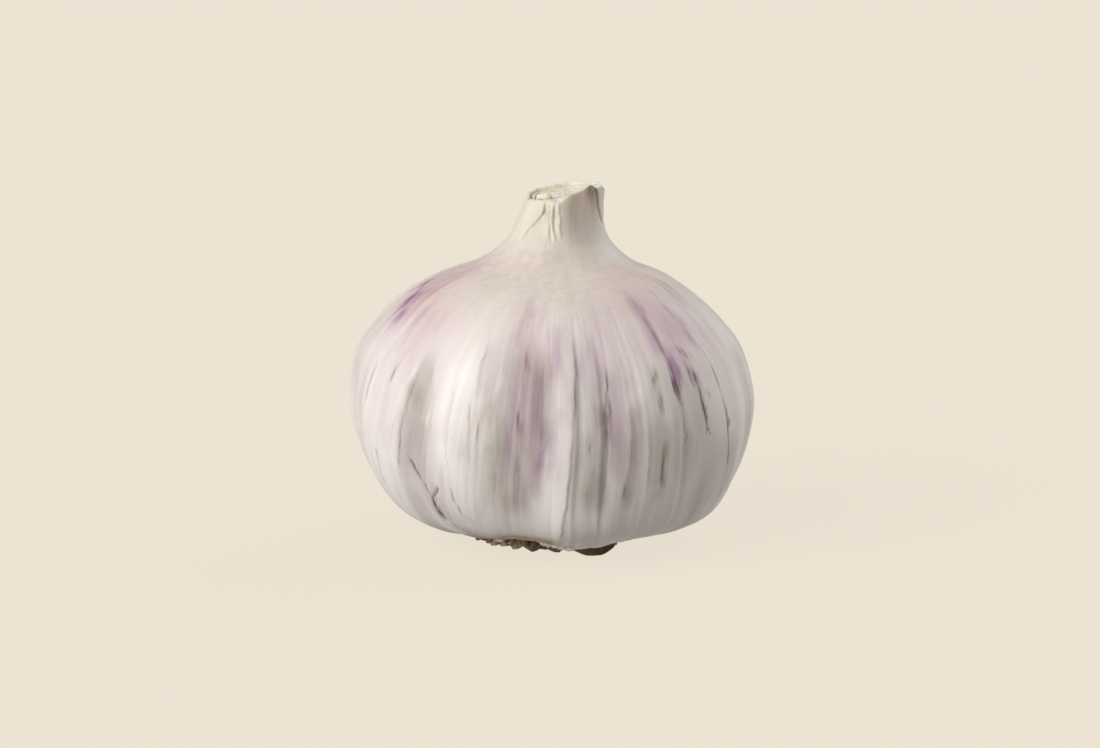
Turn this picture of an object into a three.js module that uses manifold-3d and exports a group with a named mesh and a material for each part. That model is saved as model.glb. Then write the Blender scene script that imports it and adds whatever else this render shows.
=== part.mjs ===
// A head of garlic: cloves wrapped in their papery skins, which gather into a trimmed neck, with the cut
// ends of the inner leaf sheaths and of the flower stalk in it, on a root plate with trimmed roots.
// Millimetres, +Z up. The origin is the middle of the flat spot that the head stands on. -Y is its front.
import * as THREE from "three";
import { mergeVertices } from "three/addons/utils/BufferGeometryUtils.js";
import Module from "manifold-3d";

const wasm = await Module();
wasm.setup();

// Driving dimensions
const HEAD_RADIUS = 30;
const CUT_HEIGHT = 52.1; // the middle of the neck's cut above the surface
const NECK_RADIUS = 5.45;
const NECK_WALL = 0.8; // the outer sheaths, pressed together, at the cut
const NECK_RECESS = 2.8; // how far the cut lets one see down into the neck
const PLATE_RADIUS = 9.3;
const PLATE_THICKNESS = 3.5;
const FLAT_RADIUS = 4.6; // the worn flat spot under the root plate
const ROOT_RADIUS = 0.7;
const CLEARANCE = 0.3; // between pieces that touch

// Fineness
const COLUMNS = 144;
const ROWS = 26;

// The outline over the cloves' crests, from the hollow for the root plate to the neck's cut, as shares of
// HEAD_RADIUS and CUT_HEIGHT.
const OUTLINE = [
  [0.3, 0.075],
  [0.345, 0.055],
  [0.41, 0.038],
  [0.49, 0.032],
  [0.58, 0.039],
  [0.68, 0.062],
  [0.81, 0.114],
  [0.92, 0.21],
  [0.983, 0.325],
  [0.997, 0.43],
  [0.95, 0.554],
  [0.86, 0.631],
  [0.743, 0.697],
  [0.587, 0.755],
  [0.413, 0.794],
  [0.323, 0.825],
  [0.247, 0.863],
  [0.203, 0.905],
  [0.182, 0.955],
  [0.1817, 1],
];

// The head leans a little: how far its axis stands to the side, in mm, at shares of CUT_HEIGHT.
const LEAN = [
  [0, 0.9],
  [0.08, 1.1],
  [0.2, 0.5],
  [0.38, 0.2],
  [0.54, -0.3],
  [0.69, -0.5],
  [0.77, 0.1],
  [0.83, 1.1],
  [0.92, 1.7],
  [1, 1.95],
];

// Round the root plate the skin is drawn up, more under some cloves than others: mm at azimuths in degrees.
const FOOT_LIFT = [
  [-180, 0.4],
  [-150, 0],
  [-110, 0.6],
  [-78, 0.2],
  [-52, 0.4],
  [-32, 1],
  [-12, 0.6],
  [8, 0.1],
  [28, 0],
  [50, 0.95],
  [72, 0.5],
  [100, 0],
  [125, 0.5],
  [150, 0.1],
  [180, 0.4],
];
const FOOT_FADE = [0.03, 0.1]; // the shares of CUT_HEIGHT over which that dies away

// The furrows between the cloves: the azimuth in degrees, 0 at the front and 90 at +X, and the depth in mm.
const FURROWS = [
  [-98, 1.0],
  [-72, 0.9],
  [-45, 1.8],
  [-10, 1.5],
  [16, 1.6],
  [45, 1.1],
  [72, 1.2],
  [104, 1.6],
  [135, 1.3],
  [168, 1.7],
  [200, 1.2],
  [232, 1.5],
];
const CLOVE_ROUNDNESS = 2.5; // the power of a clove's curve: 2 is a parabola, more is blunter
const FURROW_TOP = [0.5, 0.77]; // the shares of CUT_HEIGHT over which the furrows end on the shoulder
const FURROW_FOOT = [0.04, 0.2]; // and over which they deepen from the foot up
const FURROW_AT_FOOT = 0.55; // their depth at the foot as a share of the full depth

// The skin's pleats, which run down the head over the cloves.
const PLEATS = 40;
const PLEAT_HEIGHT = 0.28;
const PLEAT_VARIATION = 0.16;
const PLEAT_WANDER = 2.6; // degrees
const PLEAT_RISE = 5.2; // degrees, on its long side
const PLEAT_FALL = 2.2; // degrees, on its steep side
const PLEAT_SHARPNESS = 1.4;
const PLEAT_TOP = [0.52, 0.78];
const PLEAT_AT_TOP = 0.15; // what is left of the pleats on the neck
const PLEAT_FOOT = [0.02, 0.14];
const FRONT_FOLD = { azimuth: 7.5, height: 0.8, rise: 8, fall: 2.5 };

// The skin has split along one furrow, from the roots upwards.
const SPLIT = { azimuth: -42.5, depth: 0.7, from: 0.03, to: 0.28 };

// The trimmed roots
const ROOTS = 90;
const GOLDEN_ANGLE = Math.PI * (3 - Math.sqrt(5));
const ROOT_RING = [4.9, 8.5]; // the radii between which they grow
const ROOT_SPLAY = [12, 58]; // degrees from straight down, at those radii
const ROOT_REACH = [2.6, 3.4]; // their length at those radii
const ROOT_SEED = 7;

// The rolled inner sheaths and the stalk
const ROLL_TURNS = 1.7;
const ROLL_PITCH = 1.05; // how much nearer the middle each turn lies
const ROLL_WALL = 0.62;
const ROLL_STEPS = 64;
const STALK_RADII = [1.75, 1.3];

// The neck's cut slopes down to the front and to -X, and its rim is left wavy.
const CUT_SLOPE = { x: 0.16, y: 0.1 };
const RIM_WAVE = { height: 0.32, crests: 4, azimuth: 42 };
const NECK_FOOT = 0.86; // the share of CUT_HEIGHT at which the neck rises out of the shoulder

const radians = THREE.MathUtils.degToRad;
const smoothstep = THREE.MathUtils.smoothstep;

// A piecewise smooth function through [x, y] points, held level past its ends.
function through(points) {
  const curve = new THREE.SplineCurve(points.map(([x, y]) => new THREE.Vector2(x, y)));
  const samples = curve.getPoints(points.length * 12);
  return (x) => {
    if (x <= samples[0].x) return samples[0].y;
    for (let i = 1; i < samples.length; i++) {
      const [a, b] = [samples[i - 1], samples[i]];
      if (x <= b.x) return a.y + ((b.y - a.y) * (x - a.x)) / (b.x - a.x || 1);
    }
    return samples[samples.length - 1].y;
  };
}

const leanShare = through(LEAN);
const lean = (z) => leanShare(z / CUT_HEIGHT);
const footLift = through(FOOT_LIFT);

// The height of the neck's cut over a point, and how far its rim stands over that at an azimuth in radians.
const cutHeight = (x, y) => CUT_HEIGHT + CUT_SLOPE.x * (x - lean(CUT_HEIGHT)) + CUT_SLOPE.y * y;
const rimWave = (a) => RIM_WAVE.height * Math.cos(RIM_WAVE.crests * (a - radians(RIM_WAVE.azimuth)));

// The neck is a rounded wedge in section: the share of its radius at an azimuth in radians.
const neckSection = (a) => 1 - 0.045 * Math.cos(2 * a) + 0.04 * Math.cos(3 * (a + radians(8)));

// How deep the surface lies under the outline, in mm, because of the furrows between the cloves.
function furrowDepth(azimuth) {
  const first = FURROWS[0][0];
  const turned = THREE.MathUtils.euclideanModulo(azimuth - first, 360) + first;
  const ring = [...FURROWS, [first + 360, FURROWS[0][1]]];
  const k = ring.findIndex(([edge]) => edge > turned) - 1;
  const [[left, leftDepth], [right, rightDepth]] = [ring[k], ring[k + 1]];
  const t = (2 * (turned - left)) / (right - left) - 1;
  return (t < 0 ? leftDepth : rightDepth) * Math.abs(t) ** CLOVE_ROUNDNESS;
}

// A ridge that rises slowly on one side and falls steeply on the other.
function ridge(azimuth, { azimuth: crest, height, rise, fall }) {
  const off = THREE.MathUtils.euclideanModulo(azimuth - crest + 180, 360) - 180;
  const share = off < 0 ? 1 + off / rise : 1 - off / fall;
  return height * Math.max(0, share) ** PLEAT_SHARPNESS;
}

function pleatHeight(azimuth) {
  let height = ridge(azimuth, FRONT_FOLD);
  for (let k = 0; k < PLEATS; k++) {
    height += ridge(azimuth, {
      azimuth: (360 / PLEATS) * k + PLEAT_WANDER * Math.sin(2.4 * k),
      height: PLEAT_HEIGHT + PLEAT_VARIATION * Math.sin(1.7 * k + 0.6),
      rise: PLEAT_RISE,
      fall: PLEAT_FALL,
    });
  }
  return height;
}

// How far the skin stands off the outline at an azimuth and a height.
function relief(azimuth, z) {
  const share = z / CUT_HEIGHT;
  const fromFoot = FURROW_AT_FOOT + (1 - FURROW_AT_FOOT) * smoothstep(share, ...FURROW_FOOT);
  const furrows = (1 - smoothstep(share, ...FURROW_TOP)) * fromFoot;
  const toTop = 1 - (1 - PLEAT_AT_TOP) * smoothstep(share, ...PLEAT_TOP);
  const pleats = toTop * smoothstep(share, ...PLEAT_FOOT);
  const nearSplit = Math.abs(azimuth - SPLIT.azimuth) < 180 / COLUMNS;
  const split = nearSplit && share > SPLIT.from && share < SPLIT.to ? SPLIT.depth : 0;
  return pleats * pleatHeight(azimuth) - furrows * furrowDepth(azimuth) - split;
}

// A solid for manifold-3d from a geometry: its shared corners merged, and only positions kept.
function solidOf(geometry) {
  const bare = geometry.clone();
  bare.deleteAttribute("normal");
  bare.deleteAttribute("uv");
  const merged = mergeVertices(bare, 1e-4);
  const mesh = new wasm.Mesh({
    numProp: 3,
    vertProperties: merged.attributes.position.array,
    triVerts: new Uint32Array(merged.index.array),
  });
  return new wasm.Manifold(mesh);
}

function geometryOf(solid) {
  const { vertProperties, triVerts } = solid.getMesh();
  const geometry = new THREE.BufferGeometry();
  geometry.setAttribute("position", new THREE.BufferAttribute(vertProperties, 3));
  geometry.setIndex(new THREE.BufferAttribute(triVerts, 1));
  geometry.computeVertexNormals();
  return geometry;
}

// Seeded random numbers from 0 to 1.
function randomFrom(seed) {
  let state = seed >>> 0;
  return () => {
    state = (state + 0x6d2b79f5) >>> 0;
    let t = Math.imul(state ^ (state >>> 15), state | 1);
    t ^= t + Math.imul(t ^ (t >>> 7), t | 61);
    return ((t ^ (t >>> 14)) >>> 0) / 4294967296;
  };
}

// The head: a turned outline whose every point moves out or in along the outline's normal by the relief.
function headGeometry() {
  const curve = new THREE.SplineCurve(
    OUTLINE.map(([r, z]) => new THREE.Vector2(r * HEAD_RADIUS, z * CUT_HEIGHT)),
  );
  const outer = [];
  for (let i = 0; i <= ROWS; i++) {
    const t = curve.getUtoTmapping(i / ROWS);
    const tangent = curve.getTangent(t);
    outer.push({ point: curve.getPoint(t), normal: new THREE.Vector2(tangent.y, -tangent.x) });
  }
  const floor = OUTLINE[0][1] * CUT_HEIGHT;
  const inner = NECK_RADIUS - NECK_WALL;
  const profile = [
    { point: new THREE.Vector2(0, floor) },
    ...outer,
    { point: new THREE.Vector2(inner, CUT_HEIGHT) },
    { point: new THREE.Vector2(inner - 0.2, CUT_HEIGHT - NECK_RECESS) },
    { point: new THREE.Vector2(0, CUT_HEIGHT - NECK_RECESS) },
  ];
  const geometry = new THREE.LatheGeometry(profile.map((p) => p.point), COLUMNS);
  const position = geometry.attributes.position;
  const neckFoot = NECK_FOOT * CUT_HEIGHT;
  for (let i = 0; i <= COLUMNS; i++) {
    const angle = (2 * Math.PI * i) / COLUMNS;
    const azimuth = THREE.MathUtils.euclideanModulo((360 * i) / COLUMNS + 180, 360) - 180;
    profile.forEach(({ point, normal }, j) => {
      const stand = normal ? relief(azimuth, point.y) : 0;
      const neck = smoothstep(point.y, neckFoot, 0.95 * CUT_HEIGHT);
      const section = 1 + neck * (neckSection(angle) - 1);
      const radius = (point.x + (normal ? stand * normal.x : 0)) * section;
      const height = point.y + (normal ? stand * normal.y : 0);
      const x = radius * Math.sin(angle) + lean(point.y);
      const y = -radius * Math.cos(angle);
      const isCutPart = point.y > neckFoot && j < profile.length - 2;
      const rim = cutHeight(x, y) + rimWave(angle);
      const stretch = (rim - neckFoot) / (CUT_HEIGHT - neckFoot);
      const foot = normal ? 1 - smoothstep(point.y / CUT_HEIGHT, ...FOOT_FADE) : 0;
      const lift = foot * footLift(azimuth);
      const z = isCutPart ? neckFoot + (height - neckFoot) * stretch : height + lift;
      position.setXYZ(i * profile.length + j, x, y, z);
    });
  }
  return geometry;
}

// The inner leaf sheaths: one strip rolled inside the neck, cut off a little unevenly along the neck's cut.
function sheathRollGeometry() {
  const outerRadius = NECK_RADIUS - NECK_WALL - CLEARANCE - 0.1;
  const edge = (offset) => (i) => {
    const turn = (ROLL_TURNS * i) / ROLL_STEPS;
    const angle = 2 * Math.PI * turn + radians(70);
    const radius = (outerRadius - ROLL_PITCH * turn - offset) * neckSection(angle);
    return new THREE.Vector2(radius * Math.sin(angle), -radius * Math.cos(angle));
  };
  const steps = [...Array(ROLL_STEPS + 1).keys()];
  const shape = new THREE.Shape([...steps.map(edge(0)), ...steps.reverse().map(edge(ROLL_WALL))]);
  const foot = CUT_HEIGHT - NECK_RECESS + CLEARANCE;
  const geometry = new THREE.ExtrudeGeometry(shape, { depth: 1, bevelEnabled: false });
  const position = geometry.attributes.position;
  for (let i = 0; i < position.count; i++) {
    const x = position.getX(i) + lean(CUT_HEIGHT);
    const y = position.getY(i);
    const ragged = 0.25 * Math.sin(2.3 * x + 1.1 * y) - 0.15;
    const z = position.getZ(i) > 0.5 ? cutHeight(x, y) + ragged : foot;
    position.setXYZ(i, x, y, z);
  }
  return geometry;
}

// The cut end of the flower stalk: an oval stub with a slightly hollow top.
function stalkGeometry() {
  const foot = CUT_HEIGHT - NECK_RECESS + CLEARANCE;
  const profile = [
    new THREE.Vector2(0, 0),
    new THREE.Vector2(0.96, 0),
    new THREE.Vector2(1, 0.92),
    new THREE.Vector2(0.86, 1),
    new THREE.Vector2(0, 0.93),
  ];
  const geometry = new THREE.LatheGeometry(profile, 24);
  geometry.rotateX(Math.PI / 2);
  const position = geometry.attributes.position;
  for (let i = 0; i < position.count; i++) {
    const x = position.getX(i) * STALK_RADII[0] + lean(CUT_HEIGHT);
    const y = position.getY(i) * STALK_RADII[1];
    position.setXYZ(i, x, y, foot + position.getZ(i) * (cutHeight(x, y) - foot));
  }
  return geometry;
}

// One trimmed root: a tapered, slightly bent peg that grows from the origin along -Z.
function rootGeometry(radius, length, bend) {
  const geometry = new THREE.CylinderGeometry(radius, radius * 0.8, length, 5, 1);
  geometry.translate(0, -length / 2, 0);
  geometry.rotateX(Math.PI / 2);
  const position = geometry.attributes.position;
  for (let i = 0; i < position.count; i++) {
    const along = position.getZ(i) / length;
    position.setX(i, position.getX(i) + bend * along * along);
  }
  return geometry;
}

// The root plate: a woody disc with a worn flat spot, and its roots set out in a golden-angle spiral. Roots
// that would reach under the surface are cut off level with it.
function rootPlateGeometry() {
  const rim = PLATE_THICKNESS * 0.5;
  const disc = new THREE.LatheGeometry(
    [
      new THREE.Vector2(0, 0),
      new THREE.Vector2(FLAT_RADIUS, 0),
      new THREE.Vector2(FLAT_RADIUS + 0.6, PLATE_THICKNESS * 0.2),
      new THREE.Vector2(PLATE_RADIUS - 0.7, PLATE_THICKNESS * 0.35),
      new THREE.Vector2(PLATE_RADIUS, rim),
      new THREE.Vector2(PLATE_RADIUS - 1.1, PLATE_THICKNESS),
      new THREE.Vector2(0, PLATE_THICKNESS),
    ],
    48,
  );
  disc.rotateX(Math.PI / 2);
  const random = randomFrom(ROOT_SEED);
  const solids = [solidOf(disc)];
  for (let k = 0; k < ROOTS; k++) {
    const out = Math.sqrt((k + 0.5) / ROOTS);
    const ring = THREE.MathUtils.lerp(ROOT_RING[0], ROOT_RING[1], out);
    const angle = k * GOLDEN_ANGLE + 0.25 * random();
    const splay = radians(THREE.MathUtils.lerp(...ROOT_SPLAY, out) + 8 * (random() - 0.5));
    const length = THREE.MathUtils.lerp(...ROOT_REACH, out) * (0.85 + 0.3 * random());
    const root = rootGeometry(ROOT_RADIUS * (0.85 + 0.3 * random()), length, 0.5 * (random() - 0.5));
    root.rotateX(-splay);
    root.rotateZ(angle);
    root.translate(ring * Math.sin(angle), -ring * Math.cos(angle), PLATE_THICKNESS * 0.62);
    solids.push(solidOf(root));
  }
  const room = new THREE.BoxGeometry(40, 40, PLATE_THICKNESS);
  room.translate(0, 0, PLATE_THICKNESS / 2);
  const rough = solids.reduce((all, one) => all.add(one));
  return geometryOf(rough.intersect(solidOf(room)));
}

function piece(name, geometry, color, roughness) {
  const material = new THREE.MeshStandardMaterial({ color, roughness, metalness: 0 });
  const mesh = new THREE.Mesh(geometry, material);
  mesh.name = name;
  return mesh;
}

const garlic = new THREE.Group();
garlic.name = "garlic_bulb";
garlic.add(
  piece("wrapped_head", headGeometry(), "#e6d8d2", 0.55),
  piece("inner_leaf_sheaths", sheathRollGeometry(), "#e3d8c4", 0.7),
  piece("stalk_end", stalkGeometry(), "#e8dcb8", 0.75),
  piece("root_plate", rootPlateGeometry(), "#6b5636", 0.9),
);

export default garlic;
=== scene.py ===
# %% [markdown]
# # A head of garlic
# A head of garlic is a ring of cloves wrapped in dry papery skins. The skins gather at the top into a neck,
# which is trimmed, and at the bottom they end at a corky plate with the stubs of the roots.
# Every piece here is a surface worked out by a formula: a grid of points over two parameters, the azimuth
# round the head and the way along its outline. Blender then adds the paper, the colour and the light.
# Sizes are in millimetres until a mesh is made. Azimuth 0 is the front, -Y, and 90 is +X.

# %% Load the frame
import math

import bpy
import numpy as np
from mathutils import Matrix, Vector


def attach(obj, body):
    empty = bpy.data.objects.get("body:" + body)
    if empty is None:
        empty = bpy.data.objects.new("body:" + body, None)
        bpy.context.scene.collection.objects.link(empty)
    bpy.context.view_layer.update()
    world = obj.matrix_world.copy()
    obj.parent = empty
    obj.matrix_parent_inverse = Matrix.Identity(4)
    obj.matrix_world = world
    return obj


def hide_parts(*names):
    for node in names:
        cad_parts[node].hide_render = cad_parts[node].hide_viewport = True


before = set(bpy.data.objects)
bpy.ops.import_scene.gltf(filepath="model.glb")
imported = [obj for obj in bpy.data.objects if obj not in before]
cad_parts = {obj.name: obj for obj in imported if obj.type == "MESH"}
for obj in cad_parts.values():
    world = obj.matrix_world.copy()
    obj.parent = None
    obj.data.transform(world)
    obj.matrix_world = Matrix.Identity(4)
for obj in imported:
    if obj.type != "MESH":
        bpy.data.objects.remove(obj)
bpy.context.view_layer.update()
print("solids:", ", ".join(sorted(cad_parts)))

# %% [markdown]
# ## Driving sizes
# The head was grown, not made, so it has no straight line. It is described by a few sizes, by the outline
# over its cloves' crests, and by how far its axis leans.

# %% Driving sizes
MM = 0.001
HEAD_RADIUS = 30
CUT_HEIGHT = 52.1
NECK_FOOT = 0.86  # the share of CUT_HEIGHT at which the neck rises out of the shoulder
NECK_FULL = 0.95  # the share at which it has its own section
NECK_RADIUS = 5.45
SKIN_EDGE = 0.32  # the outer skins, pressed together, where they are cut

OUTLINE = [
    (0.3, 0.075), (0.345, 0.055), (0.41, 0.038), (0.49, 0.032), (0.58, 0.039), (0.68, 0.062),
    (0.81, 0.114), (0.92, 0.21), (0.983, 0.325), (0.997, 0.43), (0.95, 0.554), (0.86, 0.631),
    (0.743, 0.697), (0.587, 0.755), (0.413, 0.794), (0.325, 0.825), (0.26, 0.863), (0.222, 0.905),
    (0.195, 0.955), (0.1817, 1),
]  # radius and height, as shares of HEAD_RADIUS and CUT_HEIGHT
LEAN = [
    (0, 0.9), (0.08, 1.1), (0.2, 0.5), (0.38, 0.2), (0.54, -0.3), (0.69, -0.5), (0.77, 0.1),
    (0.83, 0.85), (0.92, 1.2), (1, 1.95),
]  # how far the axis lies towards +X, in mm, at a share of CUT_HEIGHT
FOOT_LIFT = [
    (-180, 0.4), (-150, 0), (-110, 0.6), (-78, 0.35), (-52, 0.6), (-32, 1.1), (-14, 0.75), (-3, 0.5),
    (4, 0.22), (11, 0.08), (18, 0.12), (24, 0.35), (31, 0.65), (40, 0.6), (52, 0.35), (72, 0.4),
    (100, 0), (125, 0.5), (150, 0.1), (180, 0.4),
]  # how far the skin's edge is drawn up at an azimuth, in mm
FOOT_FADE = (0.03, 0.1)  # the shares of CUT_HEIGHT between which that fades out
FOOT_FOLD = (9, 14, 1.4)  # azimuth and half width in degrees, and how far the front fold stands out there
FOLD_WAYS = (3, 9)  # the fold comes in between these ways along the outline
FOLD_HEIGHTS = (4, 12)  # and fades out between these heights, in mm
RIM_WAVE = [
    (-180, 0.9), (-144, 0.2), (-119, -0.4), (-90, -1.1), (-60, -1.0), (-35, -0.9), (-10, -1.0), (4, -0.1),
    (12, 0.2), (30, 0.6), (47, 1.3), (62, 0.8), (90, 0.2), (120, 0.5), (150, 0.9), (180, 0.9),
]  # the height of the neck's rim over CUT_HEIGHT, at azimuths in degrees
print(f"the head is {2 * HEAD_RADIUS} mm across and cut at {CUT_HEIGHT} mm")

# %% [markdown]
# ## Curves through points
# A Catmull-Rom spline passes through every point that it is given, and bends softly between them. It gives
# the outline, the lean and the rim, so that a handful of points is enough for each.


# %% Curves through points
def spline(points, spans=24):
    """Points of a Catmull-Rom spline through the given points, `spans` to each stretch.

    On a stretch from p1 to p2 it is the cubic that starts with the slope (p2 - p0) / 2 and ends with the
    slope (p3 - p1) / 2.
    """
    p = np.array(points, float)
    p = np.vstack([p[:1], p, p[-1:]])
    w = np.linspace(0, 1, spans, endpoint=False)[None, :, None]
    p0, p1, p2, p3 = (p[i : len(p) - 3 + i, None] for i in range(4))
    v0, v1 = (p2 - p0) / 2, (p3 - p1) / 2
    curve = (2 * p1 - 2 * p2 + v0 + v1) * w**3 + (3 * p2 - 3 * p1 - 2 * v0 - v1) * w**2 + v0 * w + p1
    return np.vstack([curve.reshape(-1, p.shape[1]), p[-1:]])


def through(points):
    """A smooth function through (x, y) points, level past its ends."""
    curve = spline(points)
    return lambda x: np.interp(x, curve[:, 0], curve[:, 1])


def smoothstep(x, low, high):
    """0 below low, 1 above high, and the cubic 3t² - 2t³ between."""
    t = np.clip((x - low) / (high - low), 0, 1)
    return t * t * (3 - 2 * t)


def wrapped(azimuth):
    """An angle in degrees brought to -180 up to 180."""
    return (azimuth + 180) % 360 - 180


outline_curve = spline(OUTLINE) * (HEAD_RADIUS, CUT_HEIGHT)
outline_steps = np.hypot(*np.diff(outline_curve, axis=0).T)
outline_way = np.concatenate([[0], np.cumsum(outline_steps)])
OUTLINE_LENGTH = outline_way[-1]
lean_share = through(LEAN)
foot_lift = through(FOOT_LIFT)
rim_height = through(RIM_WAVE)
print(f"the outline is {OUTLINE_LENGTH:.1f} mm long")

# %% [markdown]
# ## Cloves and furrows
# The skins are pressed against the cloves, so the furrows between the cloves show through them. The depth
# round the head is a spline through points, deep in the furrows and near 0 on the crests. All of it runs from
# the root plate to the neck, and turns a little on its way, so the azimuth in the pattern differs from the
# true one by a swing.

# %% Cloves and furrows
CROSS_SECTION = [
    (-180, -0.1), (-172, 0.1), (-166, -0.4), (-160, -1.7), (-153, -0.4), (-144, 0.1), (-136, -0.25),
    (-128, -2.0), (-121, -0.5), (-114, 0.0), (-108, -0.3), (-102, -1.4), (-96, -0.3), (-87, 0.1),
    (-78, -0.2), (-72, -0.8), (-67, -0.25), (-60, 0.05), (-52, 0.1), (-46.3, 0.0), (-44.2, -0.3),
    (-42, -0.9), (-39.5, -1.35), (-36.8, -1.15), (-33, -0.35), (-28, 0.2), (-24, 0.1), (-18, -0.5),
    (-13, -1.25), (-9, -1.55), (-4, -1.6), (-1, -1.5), (1.5, -1.15), (4.5, -0.6), (6.4, -0.55),
    (7.8, -0.8), (10, -0.75), (13.5, -0.9), (15, -1.1), (17.5, -0.85), (22, -0.6), (27, -0.25),
    (30, -0.3), (31.5, -0.5), (34, -0.3), (37, -0.5), (39, -0.9), (42, -0.75), (46.5, -0.95),
    (49.5, -0.4), (54, 0.0), (60, 0.1), (68, -0.1), (76, -1.1), (83, -0.2), (91, 0.1), (98, -0.4),
    (104, -2.1), (110, -0.6), (119, 0.1), (128, -0.4), (135, -1.7), (142, -0.4), (150, 0.05),
    (159, -0.4), (166, -2.0), (173, -0.6), (180, -0.1),
]  # mm off the outline at azimuths of the pattern, in degrees
FURROW_TOP = (0.5, 0.77)  # the shares of CUT_HEIGHT between which the furrows fade out
FURROW_FOOT = (0.06, 0.36)  # and those between which they reach their depth
FURROW_AT_FOOT = 0.35  # the share of their depth that they have at the foot

SWING = 10  # degrees of swing over the whole height, at the front and at the back
SWING_SPREAD = 28  # how much less it is at +X, and more at -X
SWING_MIDDLE = 0.45  # the share of CUT_HEIGHT at which it is 0
SWING_TOP = 0.75  # and that above which it grows no further

cross_section = through(CROSS_SECTION)
print(f"the deepest furrow is {-min(depth for _, depth in CROSS_SECTION)} mm deep")


def pattern_azimuth(azimuth, share):
    """The azimuth in the pattern of furrows: the true one less the swing, which grows with the height."""
    swing = SWING - SWING_SPREAD * np.sin(np.radians(azimuth))
    return wrapped(azimuth - swing * (np.minimum(share, SWING_TOP) - SWING_MIDDLE))


def furrows(azimuth, height):
    """The cross-section's depth times a share that fades towards the neck and a little at the foot."""
    share = height / CUT_HEIGHT
    from_foot = FURROW_AT_FOOT + (1 - FURROW_AT_FOOT) * smoothstep(share, *FURROW_FOOT)
    return cross_section(pattern_azimuth(azimuth, share)) * (1 - smoothstep(share, *FURROW_TOP)) * from_foot


# %% [markdown]
# ## Waves
# Paper that dried on a round thing is never quite smooth. A sum of a dozen waves with random directions and
# phases gives an unevenness that closes up round the head, because each wave has a whole number of turns.


# %% Waves
def waves(azimuth, height, seed, count, turns, rise, least=1):
    """A smooth uneven field of about -1 to 1: the sum of sin(n a + c z + f), over the root of their number.

    Each wave has its own n from `least` to `turns`, its own c up to `rise` per mm and a random phase f.
    """
    random = np.random.default_rng(seed)
    total = 0
    for _ in range(count):
        n = random.integers(least, turns + 1)
        slope = random.uniform(-rise, rise)
        phase = random.uniform(0, 2 * math.pi)
        total = total + np.sin(n * np.radians(azimuth) + slope * height + phase)
    return total / math.sqrt(count)


# A field's settings are its seed, how many waves it has, their most turns, their rise and their least turns.
RIB_HEIGHT = 0.013
RIB_WAVES = (4, 26, 170, 0.05, 45)
RIB_TOP = (0.52, 0.8)  # the shares of CUT_HEIGHT between which the ribs fade out
RIB_STRENGTH = 0.7
RIB_CHANGE = 0.9  # how much their strength changes from place to place
RIB_CHANGE_WAVES = (5, 8, 14, 0.12)
RIB_LIMITS = (0.1, 2)


def ribs(azimuth, height):
    """The veins of the skin as uneven ribs along the head, lower near the neck and strong only in places."""
    pattern = pattern_azimuth(azimuth, height / CUT_HEIGHT)
    strength = np.clip(RIB_STRENGTH + RIB_CHANGE * waves(pattern, height, *RIB_CHANGE_WAVES), *RIB_LIMITS)
    fade = 1 - smoothstep(height / CUT_HEIGHT, *RIB_TOP)
    return RIB_HEIGHT * fade * strength * waves(pattern, height, *RIB_WAVES)


# %% [markdown]
# ## Lines on the head
# Splits, creases, edges of skin layers and coloured streaks all follow a line that is drawn on the head as
# a few points of azimuth and height. One function gives the distance to such a line, and the others shape
# a bell or a step with it. A table of lines has a row for each: a few numbers, then the line's azimuth,
# height, azimuth, height and so on.

# %% Lines on the head
LINE_WIGGLE = 0.07
EDGE_SHARPNESS = 0.16  # half of the width over which an edge steps down, in mm
EDGE_FADE = 5.0  # the height over which an edge's step fades out at each end of its line, in mm
SHADOW_FADE = 3.0
SHADOW_START = (-0.1, 0.2)  # how far before and past its line a shadow comes in, in mm


def drawn(rows, numbers):
    """Each row of a table of lines as its first few numbers and a list of (azimuth, height) points."""
    return [(*row[:numbers], list(zip(row[numbers::2], row[numbers + 1 :: 2]))) for row in rows]


def sines(x, *terms):
    """The sum of size sin(rate x + start) over terms of size, rate and start."""
    return sum(size * np.sin(rate * x + start) for size, rate, start in terms)


def line_distance(place, line, ends):
    """The signed distance to a line in mm, positive towards +azimuth, and a fade towards its two ends.

    `place` is the azimuth, the height and the radius of the points. The line wiggles a little with the
    height, by three sines that start differently for each line.
    """
    azimuth, height, radius = place
    points = np.array(sorted(line, key=lambda p: p[1]), float)
    centre = np.interp(height, points[:, 1], points[:, 0])
    own = points[0, 0] + points[-1, 1]
    wiggle = sines(height, (1.0, 1.3, own), (0.7, 2.9, 2 * own), (0.4, 6.1, own))
    distance = wrapped(azimuth - centre) * np.radians(radius) + LINE_WIGGLE * wiggle
    low, high = points[0, 1], points[-1, 1]
    fade = smoothstep(height, low - ends / 2, low + ends / 2)
    return distance, fade * (1 - smoothstep(height, high - ends / 2, high + ends / 2))


def near_line(place, line, width, ends):
    """1 on the line and 0 far from it: a bell exp(-(d / width)²) of the distance d."""
    distance, fade = line_distance(place, line, ends)
    return np.exp(-((distance / width) ** 2)) * fade


def layer_edge(place, line, rise, reach):
    """The edge of a skin layer: a step of `rise` down to the line's far side, fading back over `reach` mm.

    It is 0 past the line, and before it rises to exp(-|d| / reach). A negative reach turns the step round.
    """
    distance, fade = line_distance(place, line, EDGE_FADE)
    distance = distance * math.copysign(1, reach)
    step = 1 - smoothstep(distance, -EDGE_SHARPNESS, EDGE_SHARPNESS)
    return rise * step * np.exp(np.minimum(distance, 0) / abs(reach)) * fade


def beside_line(place, line, reach):
    """1 just past a line, fading over `reach` mm beyond it, and 0 before it; turned by a negative reach."""
    distance, fade = line_distance(place, line, SHADOW_FADE)
    distance = distance * math.copysign(1, reach)
    return smoothstep(distance, *SHADOW_START) * np.exp(-np.maximum(distance, 0) / abs(reach)) * fade


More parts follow.
